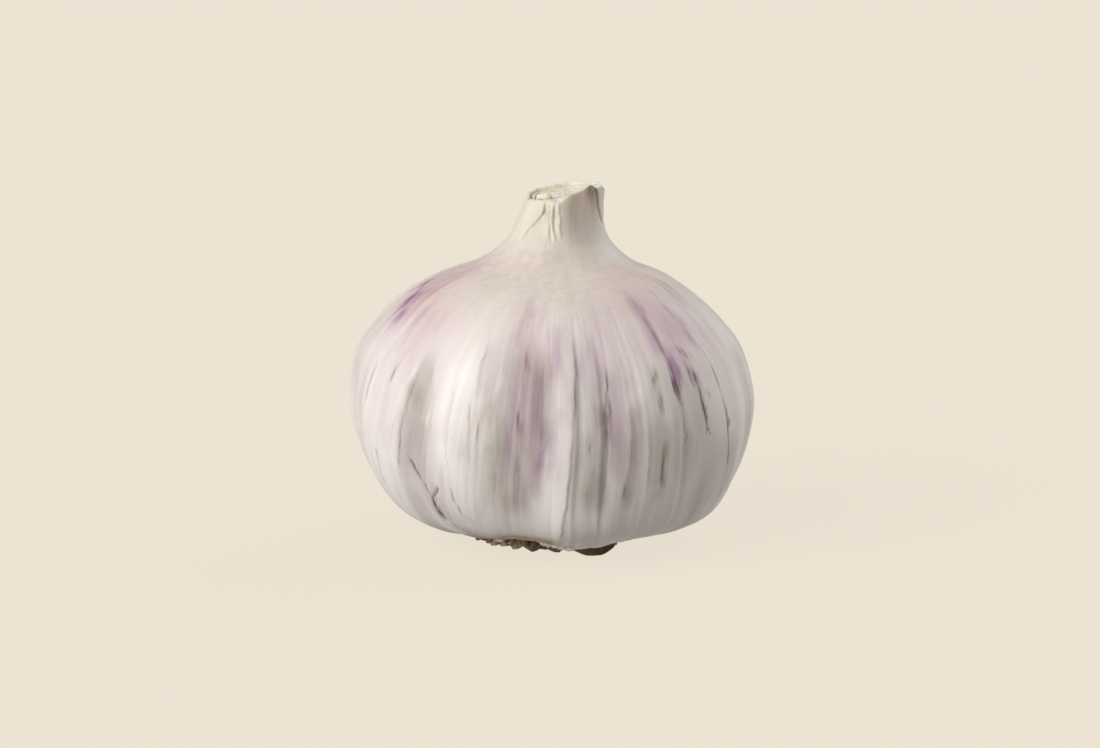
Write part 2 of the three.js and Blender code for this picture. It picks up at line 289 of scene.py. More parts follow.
# %% [markdown]
# ## Layers of skin
# The outer skins tear and end in edges that run along the head, and each edge is a small step. Beside each
# edge of the front a thin dark line of painted shadow is added with the masks. The edges of the front are
# drawn one by one. More are drawn at random for the other sides.

# %% Layers of skin
LEFT_FURROW = (-39.4, 31.5, -41.8, 28, -43.8, 25, -46.5, 21, -49, 17, -50.6, 14.5)
MIDDLE_EDGE = (-19.5, 33, -20, 30.5, -21, 26.5)
FRONT_FOLD = (8.2, 34, 7.6, 30, 6.2, 24, 5, 19, 4, 13.5, 2.9, 9.5, 0.3, 5)
FRONT_EDGES = [
    # rise in mm, reach in mm, how dark the painted shadow line beside the edge is, and the line
    (0.14, 2.0, 0.25, -47.5, 32.5, -49.5, 29, -52, 26, -54.5, 22),
    (0.12, 2.0, 0.3, -60.5, 30, -62.5, 26, -65, 22), (0.1, 2.0, 0.3, -57, 21, -60, 16.5, -63.5, 12),
    (0.12, 2.6, 0.35, *LEFT_FURROW), (0.1, 0.7, 0.5, -48.8, 22, -51.6, 18),
    (0.08, 0.6, 0.5, -36.2, 23.8, -37.4, 19.5), (0.12, 1.4, 0.35, -27.3, 27.5, -29, 23, -31, 16),
    (0.14, 1.2, 0.6, -31.2, 13, -31.6, 10.5, -30.6, 8.6, -28.5, 7), (0.1, 1.0, 0.4, -22.6, 25.5, -24, 17),
    (0.08, 0.8, 0.5, -20.6, 23, -22, 16.5), (0.12, 2.2, 0.3, *MIDDLE_EDGE),
    (-0.1, 0.7, 0.2, -13.8, 32.5, -15.2, 28, -17, 24.5), (-0.06, 0.7, 0.2, -16, 24.5, -16.8, 15),
    (0.08, 2.0, 0.35, -7, 33, -8, 28, -9.8, 21, -11.5, 15, -12.8, 10),
    (-0.06, 0.6, 0.25, -1, 31, -1.6, 25, -2.6, 19, -4, 15), (0.06, 1.0, 0.3, 0, 35.5, 0.5, 30),
    (0.15, 1.4, 0.4, *FRONT_FOLD), (0.1, 1.8, 0.4, 17.5, 36.5, 17.3, 31, 15.6, 25, 15, 20, 14.8, 15, 13, 6.5),
    (0.08, 1.0, 0.4, 22.6, 24, 22, 17, 21.3, 11.5), (0.06, 1.6, 0.25, 27, 23.5, 27.6, 13.5),
    (0.08, 1.8, 0.2, 32.3, 31, 32.8, 12), (0.12, 2.0, 0.4, 38, 37.5, 38.7, 31, 40, 20),
    (0.1, 1.6, 0.5, 45, 30, 47.2, 27, 48, 24, 48.4, 21, 51.5, 17.5),
    (0.14, 2.2, 0.0, 53.5, 31, 55, 26, 56.5, 20.5, 60, 14, 63.5, 10), (0.08, 0.8, 0.6, 41, 14.3, 42.5, 12.2),
    (0.08, 2.0, 0.15, 67, 36, 68, 28, 70, 20),
]
SIDE_EDGES = 58
SIDE_SEED = 19
SIDE_RANGE = (72, 288)  # the azimuths round the sides and the back
EDGE_HEIGHTS = (4, 26)
EDGE_LENGTHS = (7, 24)
EDGE_RISES = (0.04, 0.1)
RISE_PER_LENGTH = 0.004
EDGE_REACHES = (0.8, 2.6)
EDGE_LEAN = 1.2  # how many degrees an edge leans over its length, as a standard deviation


def side_edges():
    """Random edges of layers round the sides and the back, longer ones with a higher step."""
    random = np.random.default_rng(SIDE_SEED)
    made = []
    for _ in range(SIDE_EDGES):
        azimuth = random.uniform(*SIDE_RANGE)
        low, length = random.uniform(*EDGE_HEIGHTS), random.uniform(*EDGE_LENGTHS)
        lean = random.normal(0, EDGE_LEAN)
        line = [(azimuth, low), (azimuth + lean, low + length / 2), (azimuth + 0.5 * lean, low + length)]
        rise = random.uniform(*EDGE_RISES) + RISE_PER_LENGTH * length
        made.append((rise, random.uniform(*EDGE_REACHES), line))
    return made


front_edges, drawn_side_edges = drawn(FRONT_EDGES, 3), side_edges()
print(f"{len(front_edges)} edges of skin at the front and {len(drawn_side_edges)} round the other sides")


def layers(place):
    """The steps of all edges. The side ones follow the pattern, the front ones their own lines."""
    azimuth, height, radius = place
    pattern = (pattern_azimuth(azimuth, height / CUT_HEIGHT), height, radius)
    front = sum(layer_edge(place, line, rise, reach) for rise, reach, _, line in front_edges)
    return front + sum(layer_edge(pattern, line, rise, reach) for rise, reach, line in drawn_side_edges)


# %% [markdown]
# ## The split
# Under the big furrow at the left the outer skin has split from the root plate upwards. The skin on one
# side lies lower, and the other side's edge stands proud of it, so the split is a gap with a pale lip. Its
# inside is painted dark as shade.

# %% The split
SPLIT_TAIL = (-39.6, 7, -37, 6, -33, 5)
GAPS = drawn(
    [
        # half width in mm, depth in mm, darkness of the painted shade in it, and the line; the main part of
        # the split comes first
        (0.2, 0.7, 0.95, -43.6, 12, -42, 11.1, -40.9, 10.2, -40.6, 8.4, -39.8, 6.9),
        (0.16, 0.3, 0.9, -46.6, 15.6, -45.6, 14, -44.6, 12.4),
        (0.15, 0.4, 0.7, -41.2, 9.7, -40, 10.5, -38.6, 11, -37.2, 11.5, -36, 12.4),
        (0.4, 0.9, 1.0, -40.6, 7.9, -39.6, 6.7),
        (0.5, 0.2, 0.1, *SPLIT_TAIL),
    ],
    3,
)
GAP_FADE = 0.8  # how quickly a gap closes at each end of its line, in mm
LIP_HEIGHT = 0.12  # in mm
LIP_SHIFT = 1.3  # degrees from the split to the crest of its lip
LIP_FADE = 2
LIPS = ((-LIP_SHIFT, 0.4, 1.0), (LIP_SHIFT, 0.6, -0.4))  # shift, half width and share of LIP_HEIGHT
print(f"the split has {len(GAPS)} gaps, the deepest {max(row[1] for row in GAPS)} mm deep")


def shifted(line, degrees):
    """The line moved round the head."""
    return [(a + degrees, z) for a, z in line]


def split_relief(place):
    """The gaps of the split, the deepest one counting, and a low lip on each side of its main part."""
    depths = [depth * near_line(place, line, width, GAP_FADE) for width, depth, _, line in GAPS]
    main = GAPS[0][-1]
    lips = [share * near_line(place, shifted(main, shift), width, LIP_FADE) for shift, width, share in LIPS]
    return LIP_HEIGHT * sum(lips) - np.max(depths, axis=0)


# %% [markdown]
# ## The neck
# The neck isn't round: the outer sheaths are folded round it, and meet in a ridge at the front. Its radius
# is a circle's with a few harmonics added, and creases and a groove at the right are drawn on it as lines.
# Higher up the skins are gathered into uneven pleats, apart from a facet at the right of the ridge, where
# one skin lies smooth over the others.

# %% The neck
NECK_RIDGE = -7  # the azimuth of the front ridge
NECK_TWIST = 1.6  # how far the ridge turns to the right for each mm under the rim, in degrees
NECK_OVAL = 0.045  # by what share the neck is wider than a circle to both sides
NECK_CORNERS = ((3, 0.06), (6, 0.036))  # how many corners, and by what share they stand out
NECK_LINES = drawn(
    [
        # half width in mm, depth in mm, and the line
        (0.17, -0.42, -30, 50.6, -33, 49.3, -43, 47.5, -48.5, 45.8), (0.14, -0.2, -34, 48.8, -37, 47.9),
        (0.2, 0.2, -17.5, 51.4, -13, 49, -7.8, 47.2, -6, 46),
        (0.17, -0.24, -20.5, 51.4, -16, 49, -11, 47.2, -9, 46),
        (0.16, -0.2, -13.5, 51.4, -9.5, 49.2, -5, 47.6), (0.22, 0.16, -8.5, 52, -5, 50, -0.5, 48, 2, 46.5),
        (0.18, -0.5, -32, 51.6, -29, 50.2), (0.16, -0.2, -25, 51.2, -22, 49.4),
    ],
    2,
)
# the neck's groove: its darkness is painted shade, as in the split
NECK_GROOVE = drawn([(0.6, -0.28, 0.7, 48, 54, 58, 51.8, 66, 50.4, 79, 47.6)], 3)[0]  # as a row of GAPS
CREASE_FADE = 1.2
GROOVE_FADE = 1.6
GATHERED = (40, 46)  # the pleats come in between these heights
FACET = (30, 34, 60)  # the smooth facet's azimuth, and how far off it the pleats come in, in degrees
FACET_PLEATS = 0.15  # the share of the pleats that is left on it
PLEAT_HEIGHT = 0.016
PLEAT_WAVES = (21, 14, 52, 0.12, 14)
CRUMPLE_HEIGHT = 0.04
CRUMPLE_WAVES = (22, 10, 9, 0.5)
print(f"{len(NECK_LINES)} creases are drawn on the neck")


def neck_section(azimuth, below=0.0):
    """The neck's radius as a share of a circle's, `below` mm under the rim: a rounded wedge with a ridge."""
    off = np.radians(azimuth - NECK_RIDGE - NECK_TWIST * below)
    corners = sum(share * np.cos(count * off) for count, share in NECK_CORNERS)
    return 1 - NECK_OVAL * np.cos(2 * np.radians(azimuth)) + corners


def neck_relief(place):
    """Creases and the groove of the neck, and the pleats and crumples of the gathered skins."""
    azimuth, height, _ = place
    creases = sum(depth * near_line(place, line, width, CREASE_FADE) for width, depth, line in NECK_LINES)
    width, depth, _, line = NECK_GROOVE
    groove = depth * near_line(place, line, width, GROOVE_FADE)
    middle, near, far = FACET
    off_facet = smoothstep(np.abs(wrapped(azimuth - middle)), near, far)
    pleated = FACET_PLEATS + (1 - FACET_PLEATS) * off_facet
    pleats = PLEAT_HEIGHT * pleated * waves(azimuth, height, *PLEAT_WAVES)
    crumple = CRUMPLE_HEIGHT * waves(azimuth, height, *CRUMPLE_WAVES)
    return creases + groove + smoothstep(height, *GATHERED) * (pleats + crumple)


# %% [markdown]
# ## The skin's surface
# One function gives any point of the outer skin: the outline's point at that way along it, moved out by the
# relief along the outline's normal, turned to the azimuth, and shifted by the lean. The neck's part is
# stretched so that its end meets the rim, which is cut by hand and so is wavy.

# %% The skin's surface
NORMAL_REACH = 0.4  # the normal is taken across this way on both sides, in mm
BROAD_HEIGHT = 0.05
BROAD_WAVES = (31, 16, 34, 0.45)
BROAD_TOP = (38, 46)  # the broad waves lose most of their height between these heights
BROAD_LOSS = 0.8
RIM_ROUGHNESS = 0.06
RIM_WAVES = (41, 6, 22, 0)


def outline_at(way):
    """Radius, height and the outward normal of the outline at a way along it, in mm."""
    point, ahead, behind = (
        [np.interp(way + step, outline_way, outline_curve[:, i]) for i in (0, 1)]
        for step in (0, NORMAL_REACH, -NORMAL_REACH)
    )
    d_radius, d_height = ahead[0] - behind[0], ahead[1] - behind[1]
    length = np.hypot(d_radius, d_height)
    return point[0], point[1], d_height / length, -d_radius / length


def round_axis(azimuth, radius, axis=0.0):
    """x and y of a point at an azimuth and a radius round an upright axis at x = axis."""
    a = np.radians(azimuth)
    return radius * np.sin(a) + axis, -radius * np.cos(a)


def skin_point(azimuth, way, inset=0.0):
    """The skin's points in mm: the outline plus relief, along its normal, turned and leant.

    `inset` moves the surface in towards the axis, for the inner side of the cut edge.
    """
    radius, height, normal_r, normal_z = outline_at(way)
    share = height / CUT_HEIGHT
    place = (azimuth, height, radius)
    stand = furrows(azimuth, height) + ribs(azimuth, height)
    stand = stand + layers(place) + split_relief(place) + neck_relief(place)
    broad = 1 - BROAD_LOSS * smoothstep(height, *BROAD_TOP)
    stand = stand + BROAD_HEIGHT * broad * waves(azimuth, height, *BROAD_WAVES)

    neck = smoothstep(height, NECK_FOOT * CUT_HEIGHT, NECK_FULL * CUT_HEIGHT)
    section = 1 + neck * (neck_section(azimuth, CUT_HEIGHT - height) - 1)
    r = (radius + stand * normal_r - inset) * section
    middle, half, out = FOOT_FOLD
    fold = out * np.exp(-((wrapped(azimuth - middle) / half) ** 2))
    r = r + fold * smoothstep(way, *FOLD_WAYS) * (1 - smoothstep(height, *FOLD_HEIGHTS))

    z = height + stand * normal_z + (1 - smoothstep(share, *FOOT_FADE)) * foot_lift(azimuth)
    neck_foot = NECK_FOOT * CUT_HEIGHT
    rim = CUT_HEIGHT + rim_height(azimuth) + RIM_ROUGHNESS * waves(azimuth, 0, *RIM_WAVES)
    stretch = (rim - neck_foot) / (CUT_HEIGHT - neck_foot)
    z = np.where(height > neck_foot, neck_foot + (z - neck_foot) * stretch, z)
    return np.stack([*round_axis(azimuth, r, lean_share(share)), z], -1)


def crowded(low, high, count, crowds, samples=4000):
    """`count` values from low to high, closer together round each crowd: (middle, half width, how much)."""
    fine = np.linspace(low, high, samples)
    density = np.ones_like(fine)
    for middle, half, much in crowds:
        density = density + much * np.exp(-(((fine - middle) / half) ** 2))
    total = np.concatenate([[0], np.cumsum((density[1:] + density[:-1]) / 2)])
    return np.interp(np.linspace(0, total[-1], count), total, fine)


# %% [markdown]
# ## Meshes from grids
# A closed skin of revolution is a grid whose columns join up round the head, with a point at each end.
# The faces are listed by whole-array sums, and `foreach_set` puts them into the mesh at once.


# %% Meshes from grids
def grid_faces(rows, columns, closed):
    """Quads of a grid of rows times columns, turned so that they face out when columns run anticlockwise."""
    i, j = np.meshgrid(np.arange(rows - 1), np.arange(columns if closed else columns - 1), indexing="ij")
    k = (j + 1) % columns
    corners = [i * columns + j, i * columns + k, (i + 1) * columns + k, (i + 1) * columns + j]
    return np.stack(corners, -1).reshape(-1, 4)


def build_mesh(name, vertices, quads, triangles=()):
    """A mesh object from vertices in mm and whole arrays of quads and triangles, shaded smooth."""
    mesh = bpy.data.meshes.new(name)
    quads = np.asarray(quads, np.int32).reshape(-1, 4)
    triangles = np.asarray(triangles, np.int32).reshape(-1, 3)
    loops = np.concatenate([quads.ravel(), triangles.ravel()])
    starts = np.concatenate([np.arange(len(quads)) * 4, len(quads) * 4 + np.arange(len(triangles)) * 3])
    mesh.vertices.add(len(vertices))
    mesh.vertices.foreach_set("co", (np.asarray(vertices, float) * MM).ravel())
    mesh.loops.add(len(loops))
    mesh.loops.foreach_set("vertex_index", loops)
    mesh.polygons.add(len(starts))
    mesh.polygons.foreach_set("loop_start", starts)
    mesh.update(calc_edges=True)
    mesh.validate()
    mesh.shade_smooth()
    made = bpy.data.objects.new(name, mesh)
    bpy.context.scene.collection.objects.link(made)
    print(f"{name}: {len(vertices)} points, {len(quads) * 2 + len(triangles)} triangles")
    return made


def with_ends(grid):
    """A grid's numbers or points as one list, and after them the means of its first and its last row."""
    return np.concatenate([grid.reshape(-1, *grid.shape[2:]), [grid[0].mean(0), grid[-1].mean(0)]])


def capped_grid(points):
    """Vertices, quads and triangles of a grid closed round its columns, with a fan at each end."""
    rows, columns = points.shape[:2]
    j = np.arange(columns)
    k = (j + 1) % columns
    low, high, last = rows * columns, rows * columns + 1, (rows - 1) * columns
    low_fan = np.stack([np.full(columns, low), k, j], -1)
    high_fan = np.stack([np.full(columns, high), last + j, last + k], -1)
    return with_ends(points), grid_faces(rows, columns, True), np.vstack([low_fan, high_fan])


def turned_piece(name, profile, spans, columns, point):
    """A closed piece: a smooth profile of (radius, height), whose points `point` turns to each azimuth."""
    curve = spline(profile, spans)
    round_it = np.linspace(-180, 180, columns, endpoint=False)
    return build_mesh(name, *capped_grid(point(round_it[None], curve[:, :1], curve[:, 1:])))


def thicken(sheet, name, thickness):
    """Gives a sheet a thickness in mm, half of it to each side."""
    solidify = sheet.modifiers.new(name, "SOLIDIFY")
    solidify.thickness = thickness * MM
    solidify.offset = 0


def set_attribute(piece, name, values):
    """Keeps a number or a vector for each vertex, for the material to read."""
    values = np.asarray(values, np.float32)
    kind = "FLOAT" if values.ndim == 1 else "FLOAT_VECTOR"
    attribute = piece.data.attributes.new(name, kind, "POINT")
    attribute.data.foreach_set("value" if kind == "FLOAT" else "vector", values.ravel())


# %% [markdown]
# ## The wrapped head
# The rows run from the hollow of the root plate, out over the foot, up the head and the neck, over the thin
# cut edge and down inside the neck. They are closer together at the split, at the neck and at the front,
# where the skin has its finest shapes.

# %% The wrapped head
COLUMNS = 600
ROWS = 158
FRONT_CROWD = (0, 66, 1.6)
SPLIT_CROWD = (-40, 9, 1.5)
FOOT_CROWD = (20, 8, 0.9)
NECK_CROWD = (OUTLINE_LENGTH, 9, 1.6)
INSIDE_DEPTHS = (0.0, 0.25, 0.8, 1.6, 2.6)  # how far down inside the neck each inner row lies
LIP_ROUND = 0.06  # how far the middle of the cut edge stands over its sides

azimuths = crowded(-180, 180, COLUMNS + 1, [FRONT_CROWD, SPLIT_CROWD])[:-1]
ways = crowded(0, OUTLINE_LENGTH, ROWS, [FOOT_CROWD, NECK_CROWD])
outer = skin_point(*np.meshgrid(azimuths, ways))

edge_ways = np.full((len(INSIDE_DEPTHS), COLUMNS), OUTLINE_LENGTH)
inside = skin_point(np.broadcast_to(azimuths, edge_ways.shape), edge_ways, inset=SKIN_EDGE)
inside[..., 2] -= np.array(INSIDE_DEPTHS)[:, None]
lip = (outer[-1:] + inside[:1]) / 2 + (0, 0, LIP_ROUND)
skin_points = np.concatenate([outer, lip, inside])
skin = build_mesh("garlic_skin", *capped_grid(skin_points))

# %% [markdown]
# ## Streaks of the front
# The colour of the skin lies in streaks that follow its veins: lilac and purple on the shoulders, wine-red
# or brown lines in the furrows, and a few olive ones. Wide soft strokes give tan and a rosy blush on the
# shoulders. Other strokes are painted light: grey painted shade in the furrows and valleys, and painted
# highlights on the crests. The dark lines are partly the skin's own and partly painted shadow in creases.
# Those of the front are drawn one by one.

# %% Streaks of the front
FRONT_STREAKS = {
    # half width in mm, strength, and the line
    "lilac": [
        (3.8, 1.05, -94, 41.5, -86, 40, -77, 38.4, -72, 37.1, -68, 35.6, -68, 34.4),
        (2.6, 0.7, -74, 41, -65, 38.6, -57, 35), (3.4, 0.35, -82, 40, -68, 38, -54, 36.4, -48, 35),
        (4.5, 0.14, -58, 36, -52, 32, -56, 25), (1.8, 0.45, -7, 38.5, -8, 32, -10, 24, -12, 14),
        (1.1, 0.5, -2.5, 30, -3.6, 24, -4.6, 15), (2.1, 0.3, 5, 37, 3.4, 28, 2, 20, 0, 14),
        (2.0, 0.36, 11.5, 34, 10, 22), (3.6, 0.34, 16, 37.5, 16.5, 30, 17.5, 24, 18.5, 17),
        (2.0, 0.3, 22, 30, 21, 24, 21.5, 19), (1.0, 0.9, 37.6, 38.5, 38.5, 34, 39, 28),
        (2.4, 0.75, 67, 39.6, 65.5, 36.6), (3.0, 0.4, 41, 37, 44, 32), (2.6, 0.5, 48, 37, 50, 34, 51, 31),
        (1.6, 1.25, 41, 33, 42.6, 27.8), (1.6, 0.8, 38, 34, 40, 30), (1.1, 0.4, 52, 37, 54, 34, 55, 31),
        (3.6, 0.6, 61, 40, 62.5, 37.4), (4.0, 0.16, 66, 36, 60, 30),
    ],
    "wine": [
        (1.1, 0.58, -86, 40, -77, 38.4, -73.8, 37.8, -70, 36.5, -67.6, 35.2),
        (0.45, 0.4, -78, 40.4, -69, 38, -64, 36.4),
        (0.45, 0.45, -60.5, 29.6, -62.5, 26.2, -64.8, 23.4, -68, 21),
        (0.35, 0.28, -46.8, 32, -49.8, 28.4, -51.8, 26.3, -53.8, 22.8), (0.5, 0.25, -50, 39, -44, 38.2),
        (0.45, 1.0, -9.2, 24.4, -9.9, 20.5, -10.6, 15), (0.55, 0.8, -6.8, 33, -6.4, 29.8),
        (0.35, 0.3, 0, 35.5, 0.5, 33), (0.5, 0.42, 17, 26.5, 16.4, 23.5, 15.8, 20),
        (0.6, 0.9, 38.8, 38.2, 39, 36.6), (0.45, 0.7, 38.2, 35, 38.5, 31), (0.6, 0.6, 38.6, 31.5, 38.9, 28),
        (1.1, 1.05, 38.6, 28.8, 39.2, 26.2), (0.7, 0.35, 42.6, 30.6, 42.6, 28.4),
        (0.9, 0.45, 50.6, 38, 51.8, 36.4, 52.3, 34.6, 52.8, 33, 53.6, 30.4), (0.7, 0.9, 45.6, 32, 47.4, 30.6),
        (0.9, 0.8, 44.4, 30, 46.6, 28, 47.4, 26.4), (0.5, 0.5, 53.4, 35, 54.8, 33),
        (1.7, 0.24, 33, 38.4, 34.4, 35.6),
    ],
    "olive": [
        (1.8, 0.38, -16, 25, -17, 18, -18, 8), (1.8, 0.42, 11, 27, 10.5, 22, 10, 10),
        (5.0, 0.36, 36, 26, 40, 20, 44, 14), (1.3, 0.55, -39.8, 29.5, -41.2, 26, -41.8, 22),
        (0.4, 0.9, -40, 9.8, -38.6, 10.8, -37.4, 12), (0.5, 0.8, 32, 29.4, 31.1, 27.4),
        (0.9, 0.7, 31.6, 11.9, 31, 10.6), (1.0, 0.6, 32.8, 14.6, 32.2, 13.2),
        (0.42, 1.05, 32.2, 26.6, 32.6, 23.2), (0.65, 1.0, 33, 19.4, 32.6, 15.5, 33.2, 12.6),
        (1.2, 1.4, 42, 54.5, 48, 51.8, 56, 49.8), (1.0, 0.5, 2, 51.6, 8, 49.6),
    ],
    # dark lines: partly the skin's own dark veins and partly painted shadow in creases and in the neck's
    # groove
    "dark": [
        (0.4, 0.4, -77.5, 20.4, -83.8, 17.4, -87, 15.8), (0.35, 0.35, -8.6, 22, -9.4, 19, -10, 17),
        (0.4, 0.4, 15.2, 25, 14.8, 21, 14.6, 18), (0.4, 0.4, 14.6, 13.6, 14.8, 12.6),
        (0.42, 0.55, -60.2, 16.6, -61.5, 14.2, -63, 11.9, -62.8, 10.8),
        (0.22, 0.45, -35.4, 22.4, -36.2, 18.6), (0.3, 0.5, 10, 20, 10, 18.3), (0.3, 0.45, 4.2, 14, 4.2, 12.2),
        (0.28, 0.5, 21.3, 14, 21, 12.8, 20.8, 10.9), (0.35, 0.4, 31.9, 29.2, 31.3, 28),
        (0.3, 0.45, 31.6, 26, 32.2, 23.4), (0.38, 0.65, 32.6, 17.4, 32.8, 13.4),
        (0.36, 0.95, 39.4, 27.4, 40, 23, 40.4, 18.6), (0.22, 0.6, 46.2, 28.4, 47.6, 26, 48.2, 23, 48.8, 19.6),
        (0.5, 0.5, 47.2, 26.4, 48.2, 25.2), (0.45, 0.6, 49.8, 26.2, 50.4, 24.8),
        (0.6, 0.6, 51.6, 39, 52.6, 37.6), (0.3, 0.8, 53.6, 32, 55.2, 26, 56.7, 20.5, 60.2, 14, 63.7, 9),
        (0.45, 0.65, 53.9, 30, 55.4, 26, 56.6, 21.6), (0.42, 0.65, 57.8, 18.4, 60.4, 14, 62.6, 11),
        (0.5, 0.7, 57.2, 21.5, 57.8, 20), (0.4, 0.3, 61.3, 27.5, 61.8, 26), (0.3, 0.3, 63.3, 24.5, 63.8, 23),
        (0.4, 0.6, 13.8, 9, 13, 7.6), (0.24, 0.5, 25.6, 8.6, 26.2, 7), (0.2, 0.8, 43.5, 55, 44.5, 50.8),
        (0.2, 0.8, 50, 55, 51.5, 50.4), (0.3, 0.6, -30.5, 51.2, -29, 50),
    ],
    # painted shade: the furrows, the valleys beside the cloves, the split's tail, the left rim and the foot
    # of the neck are darkened here as shadow would darken them
    "shade": [
        (1.9, 0.35, 3.6, 34, 2.6, 28, 1.4, 22), (1.2, 0.3, 9, 30, 8.6, 22), (2.4, 0.16, -25, 26, -26, 18),
        (3.6, 0.12, -55, 27, -57, 18), (2.0, 0.25, -35, 17, -35, 10), (1.0, 0.72, 15, 26, 14.6, 20, 13.8, 9),
        (3.0, 0.1, 17.5, 15, 18, 7), (2.4, 0.78, -7, 33, -8, 28, -9, 22),
        (2.0, 0.98, -9, 25, -10.2, 18, -12, 9), (2.4, 0.95, -1.6, 32.5, -2.2, 28, -3.4, 24, -4.4, 19),
        (1.9, 0.68, -4.4, 21.5, -6, 16, -8, 11), (0.9, 0.65, -0.6, 29, -1.2, 22, -2.4, 18),
        (1.6, 0.5, -14, 20, -15, 12), (2.0, 0.5, 17, 31, 17.3, 22, 18, 14),
        (1.1, 0.75, 23.4, 25, 23, 18, 22.2, 10), (0.6, 0.25, 27.6, 22, 28, 13),
        (4.0, 0.2, 32, 22, 33, 18, 34, 13), (2.4, 0.45, 60, 18, 63, 13, 64, 9),
        (3.6, 0.5, 14, 51, 25, 48, 30, 44.5), (2.1, 0.6, -39.2, 28, -40.4, 22),
        (2.8, 0.7, -41, 23.5, -42.2, 16, -41, 9, -39, 6), (2.6, 0.3, -46, 12, -48, 9, -50, 5),
        (2.2, 1.0, *SPLIT_TAIL), (3.5, 0.35, -78, 36, -78, 30, -78, 22),
        (1.5, 0.25, -32, 51, -32, 47), (2.0, 0.2, 0, 46, 0, 42), (2.4, 0.25, 42, 28, 43.5, 24, 44, 20),
    ],
    "tan": [
        (3.0, 0.3, -72, 40, -62, 38, -55, 35.5), (1.6, 0.35, -68, 41, -60, 39, -55, 37.4),
        (1.0, 0.3, -17, 26, -19.5, 23.5, -20, 22), (4.0, 0.12, 45, 54, 45, 43),
        (2.4, 0.45, 54, 42, 60, 40.6, 68, 39.4), (1.3, 0.4, 18, 54, 24, 49.8),
    ],
    # painted highlights: pale strokes on crests, on lit edges and on the right rim and neck, where light
    # falls
    "pale": [
        (4.0, 0.5, 75, 35, 75, 29, 74, 22), (1.4, 0.6, 30, 26, 29.6, 23),
        (3.0, 0.3, -33, 33, -31.5, 29, -30.5, 22), (1.6, 0.2, -24, 33, -25.5, 27),
        (3.2, 0.6, 62, 46.5, 62, 41.5), (3.2, 0.35, 66, 40, 65, 33), (1.3, 0.5, -31, 20, -33, 15),
        (1.4, 0.7, -26, 17, -27.5, 9), (1.6, 0.3, 6, 13, 6, 8), (1.5, 0.6, 27.4, 29.6, 26, 25.4),
        (0.35, 1.0, -13.6, 29.4, -15, 27.4), (0.3, 1.0, -16.2, 24, -16.8, 21.8),
        (0.3, 1.0, -37.4, 23.4, -38.4, 21.6), (0.35, 0.9, -41.6, 29.6, -43.4, 27.6),
    ],
    "blush": [
        (5.0, 0.4, -72, 41, -60, 38.5, -50, 35, -48, 33), (4.4, 0.55, 38, 40, 42, 36, 45, 31),
        (3.6, 0.32, 50, 38, 55, 36, 57, 32),
    ],
}
KINDS = tuple(FRONT_STREAKS)
front_streaks = [(kind, *row) for kind, rows in FRONT_STREAKS.items() for row in drawn(rows, 2)]
print(f"{len(front_streaks)} strokes at the front, of the kinds", ", ".join(KINDS))

# %% [markdown]
# ## Streaks of the back
# Those of the sides and the back are drawn at random from a fixed seed, with the front's widths and lengths.
# Each is a line of three points that leans a little.

# %% Streaks of the back
BACK_STREAKS = 46
BACK_SEED = 11
BACK_RANGE = (82, 278)
BACK_TOPS = (24, 40)
BACK_LENGTHS = (6, 20)
BACK_LEANS = (-3, 3)
BACK_KINDS = ("lilac", "lilac", "wine", "dark", "dark", "olive")  # the common ones stand there twice
BACK_WIDTHS = {"wine": 0.4, "dark": 0.25, "olive": 0.7}
LILAC_WIDTHS = (0.6, 2.4)
BACK_STRENGTHS = (0.25, 0.7)
BACK_DARK = 0.6  # the share of its strength that a dark one has


def back_streaks():
    """Random streaks over BACK_RANGE, each as its kind, half width, strength and line."""
    random = np.random.default_rng(BACK_SEED)
    made = []
    for _ in range(BACK_STREAKS):
        azimuth, top = random.uniform(*BACK_RANGE), random.uniform(*BACK_TOPS)
        length, lean = random.uniform(*BACK_LENGTHS), random.uniform(*BACK_LEANS)
        kind = str(random.choice(BACK_KINDS))
        lilac_width = random.uniform(*LILAC_WIDTHS)
        strength = random.uniform(*BACK_STRENGTHS) * (BACK_DARK if kind == "dark" else 1)
        line = [(azimuth, top), (azimuth + lean / 2, top - length / 2), (azimuth + lean, top - length)]
        made.append((kind, BACK_WIDTHS.get(kind, lilac_width), strength, line))
    return made


# %% [markdown]
# ## Masks
# A mask says how strong one kind of streak is at each point of the skin. The strongest stroke counts, and
# the thin ones are made ragged. Beside some edges a soft shadow is painted into the shade mask, and beside
# each edge of a front layer a thin line of painted shadow goes into the dark mask.

# %% Masks
SHADOWS = drawn(
    [
        # each a soft painted shadow beside an edge: reach past the line in mm, strength, and the line
        (2.6, 0.35, *LEFT_FURROW), (-2.4, 0.4, -36.3, 31, -37, 27, -36.8, 24, -38, 19, -36.5, 14.6),
        (1.8, 0.35, *FRONT_FOLD), (2.0, 0.3, *MIDDLE_EDGE), (-2.0, 0.25, 46.5, 30, 48.4, 27, 49, 23),
    ],
    2,
)
STREAK_FADE = 2  # the height over which a streak fades at each end, in mm
WASH_FADE = 1.6  # how much longer that is for a wide one, per mm of its half width
RAGGED_MEAN = 0.8
RAGGEDNESS = 0.35
RAGGED_ENDS = (0.15, 1.3)  # the least and the most that the raggedness leaves of a streak
RAGGED_WAVES = (51, 14, 60, 0.7)
RAGGED_TOP = (38, 44)  # the streaks grow smooth between these heights
SOFT_KINDS = ("shade", "pale", "blush")
SOFT_SHARE = 0.4  # the share of the raggedness that these have
# the thin dark line beside each edge of the front is painted shadow
EDGE_SHADOW_WIDTH = 0.2
EDGE_SHADOW_SHIFT = 0.25  # degrees from an edge to the dark line beside it


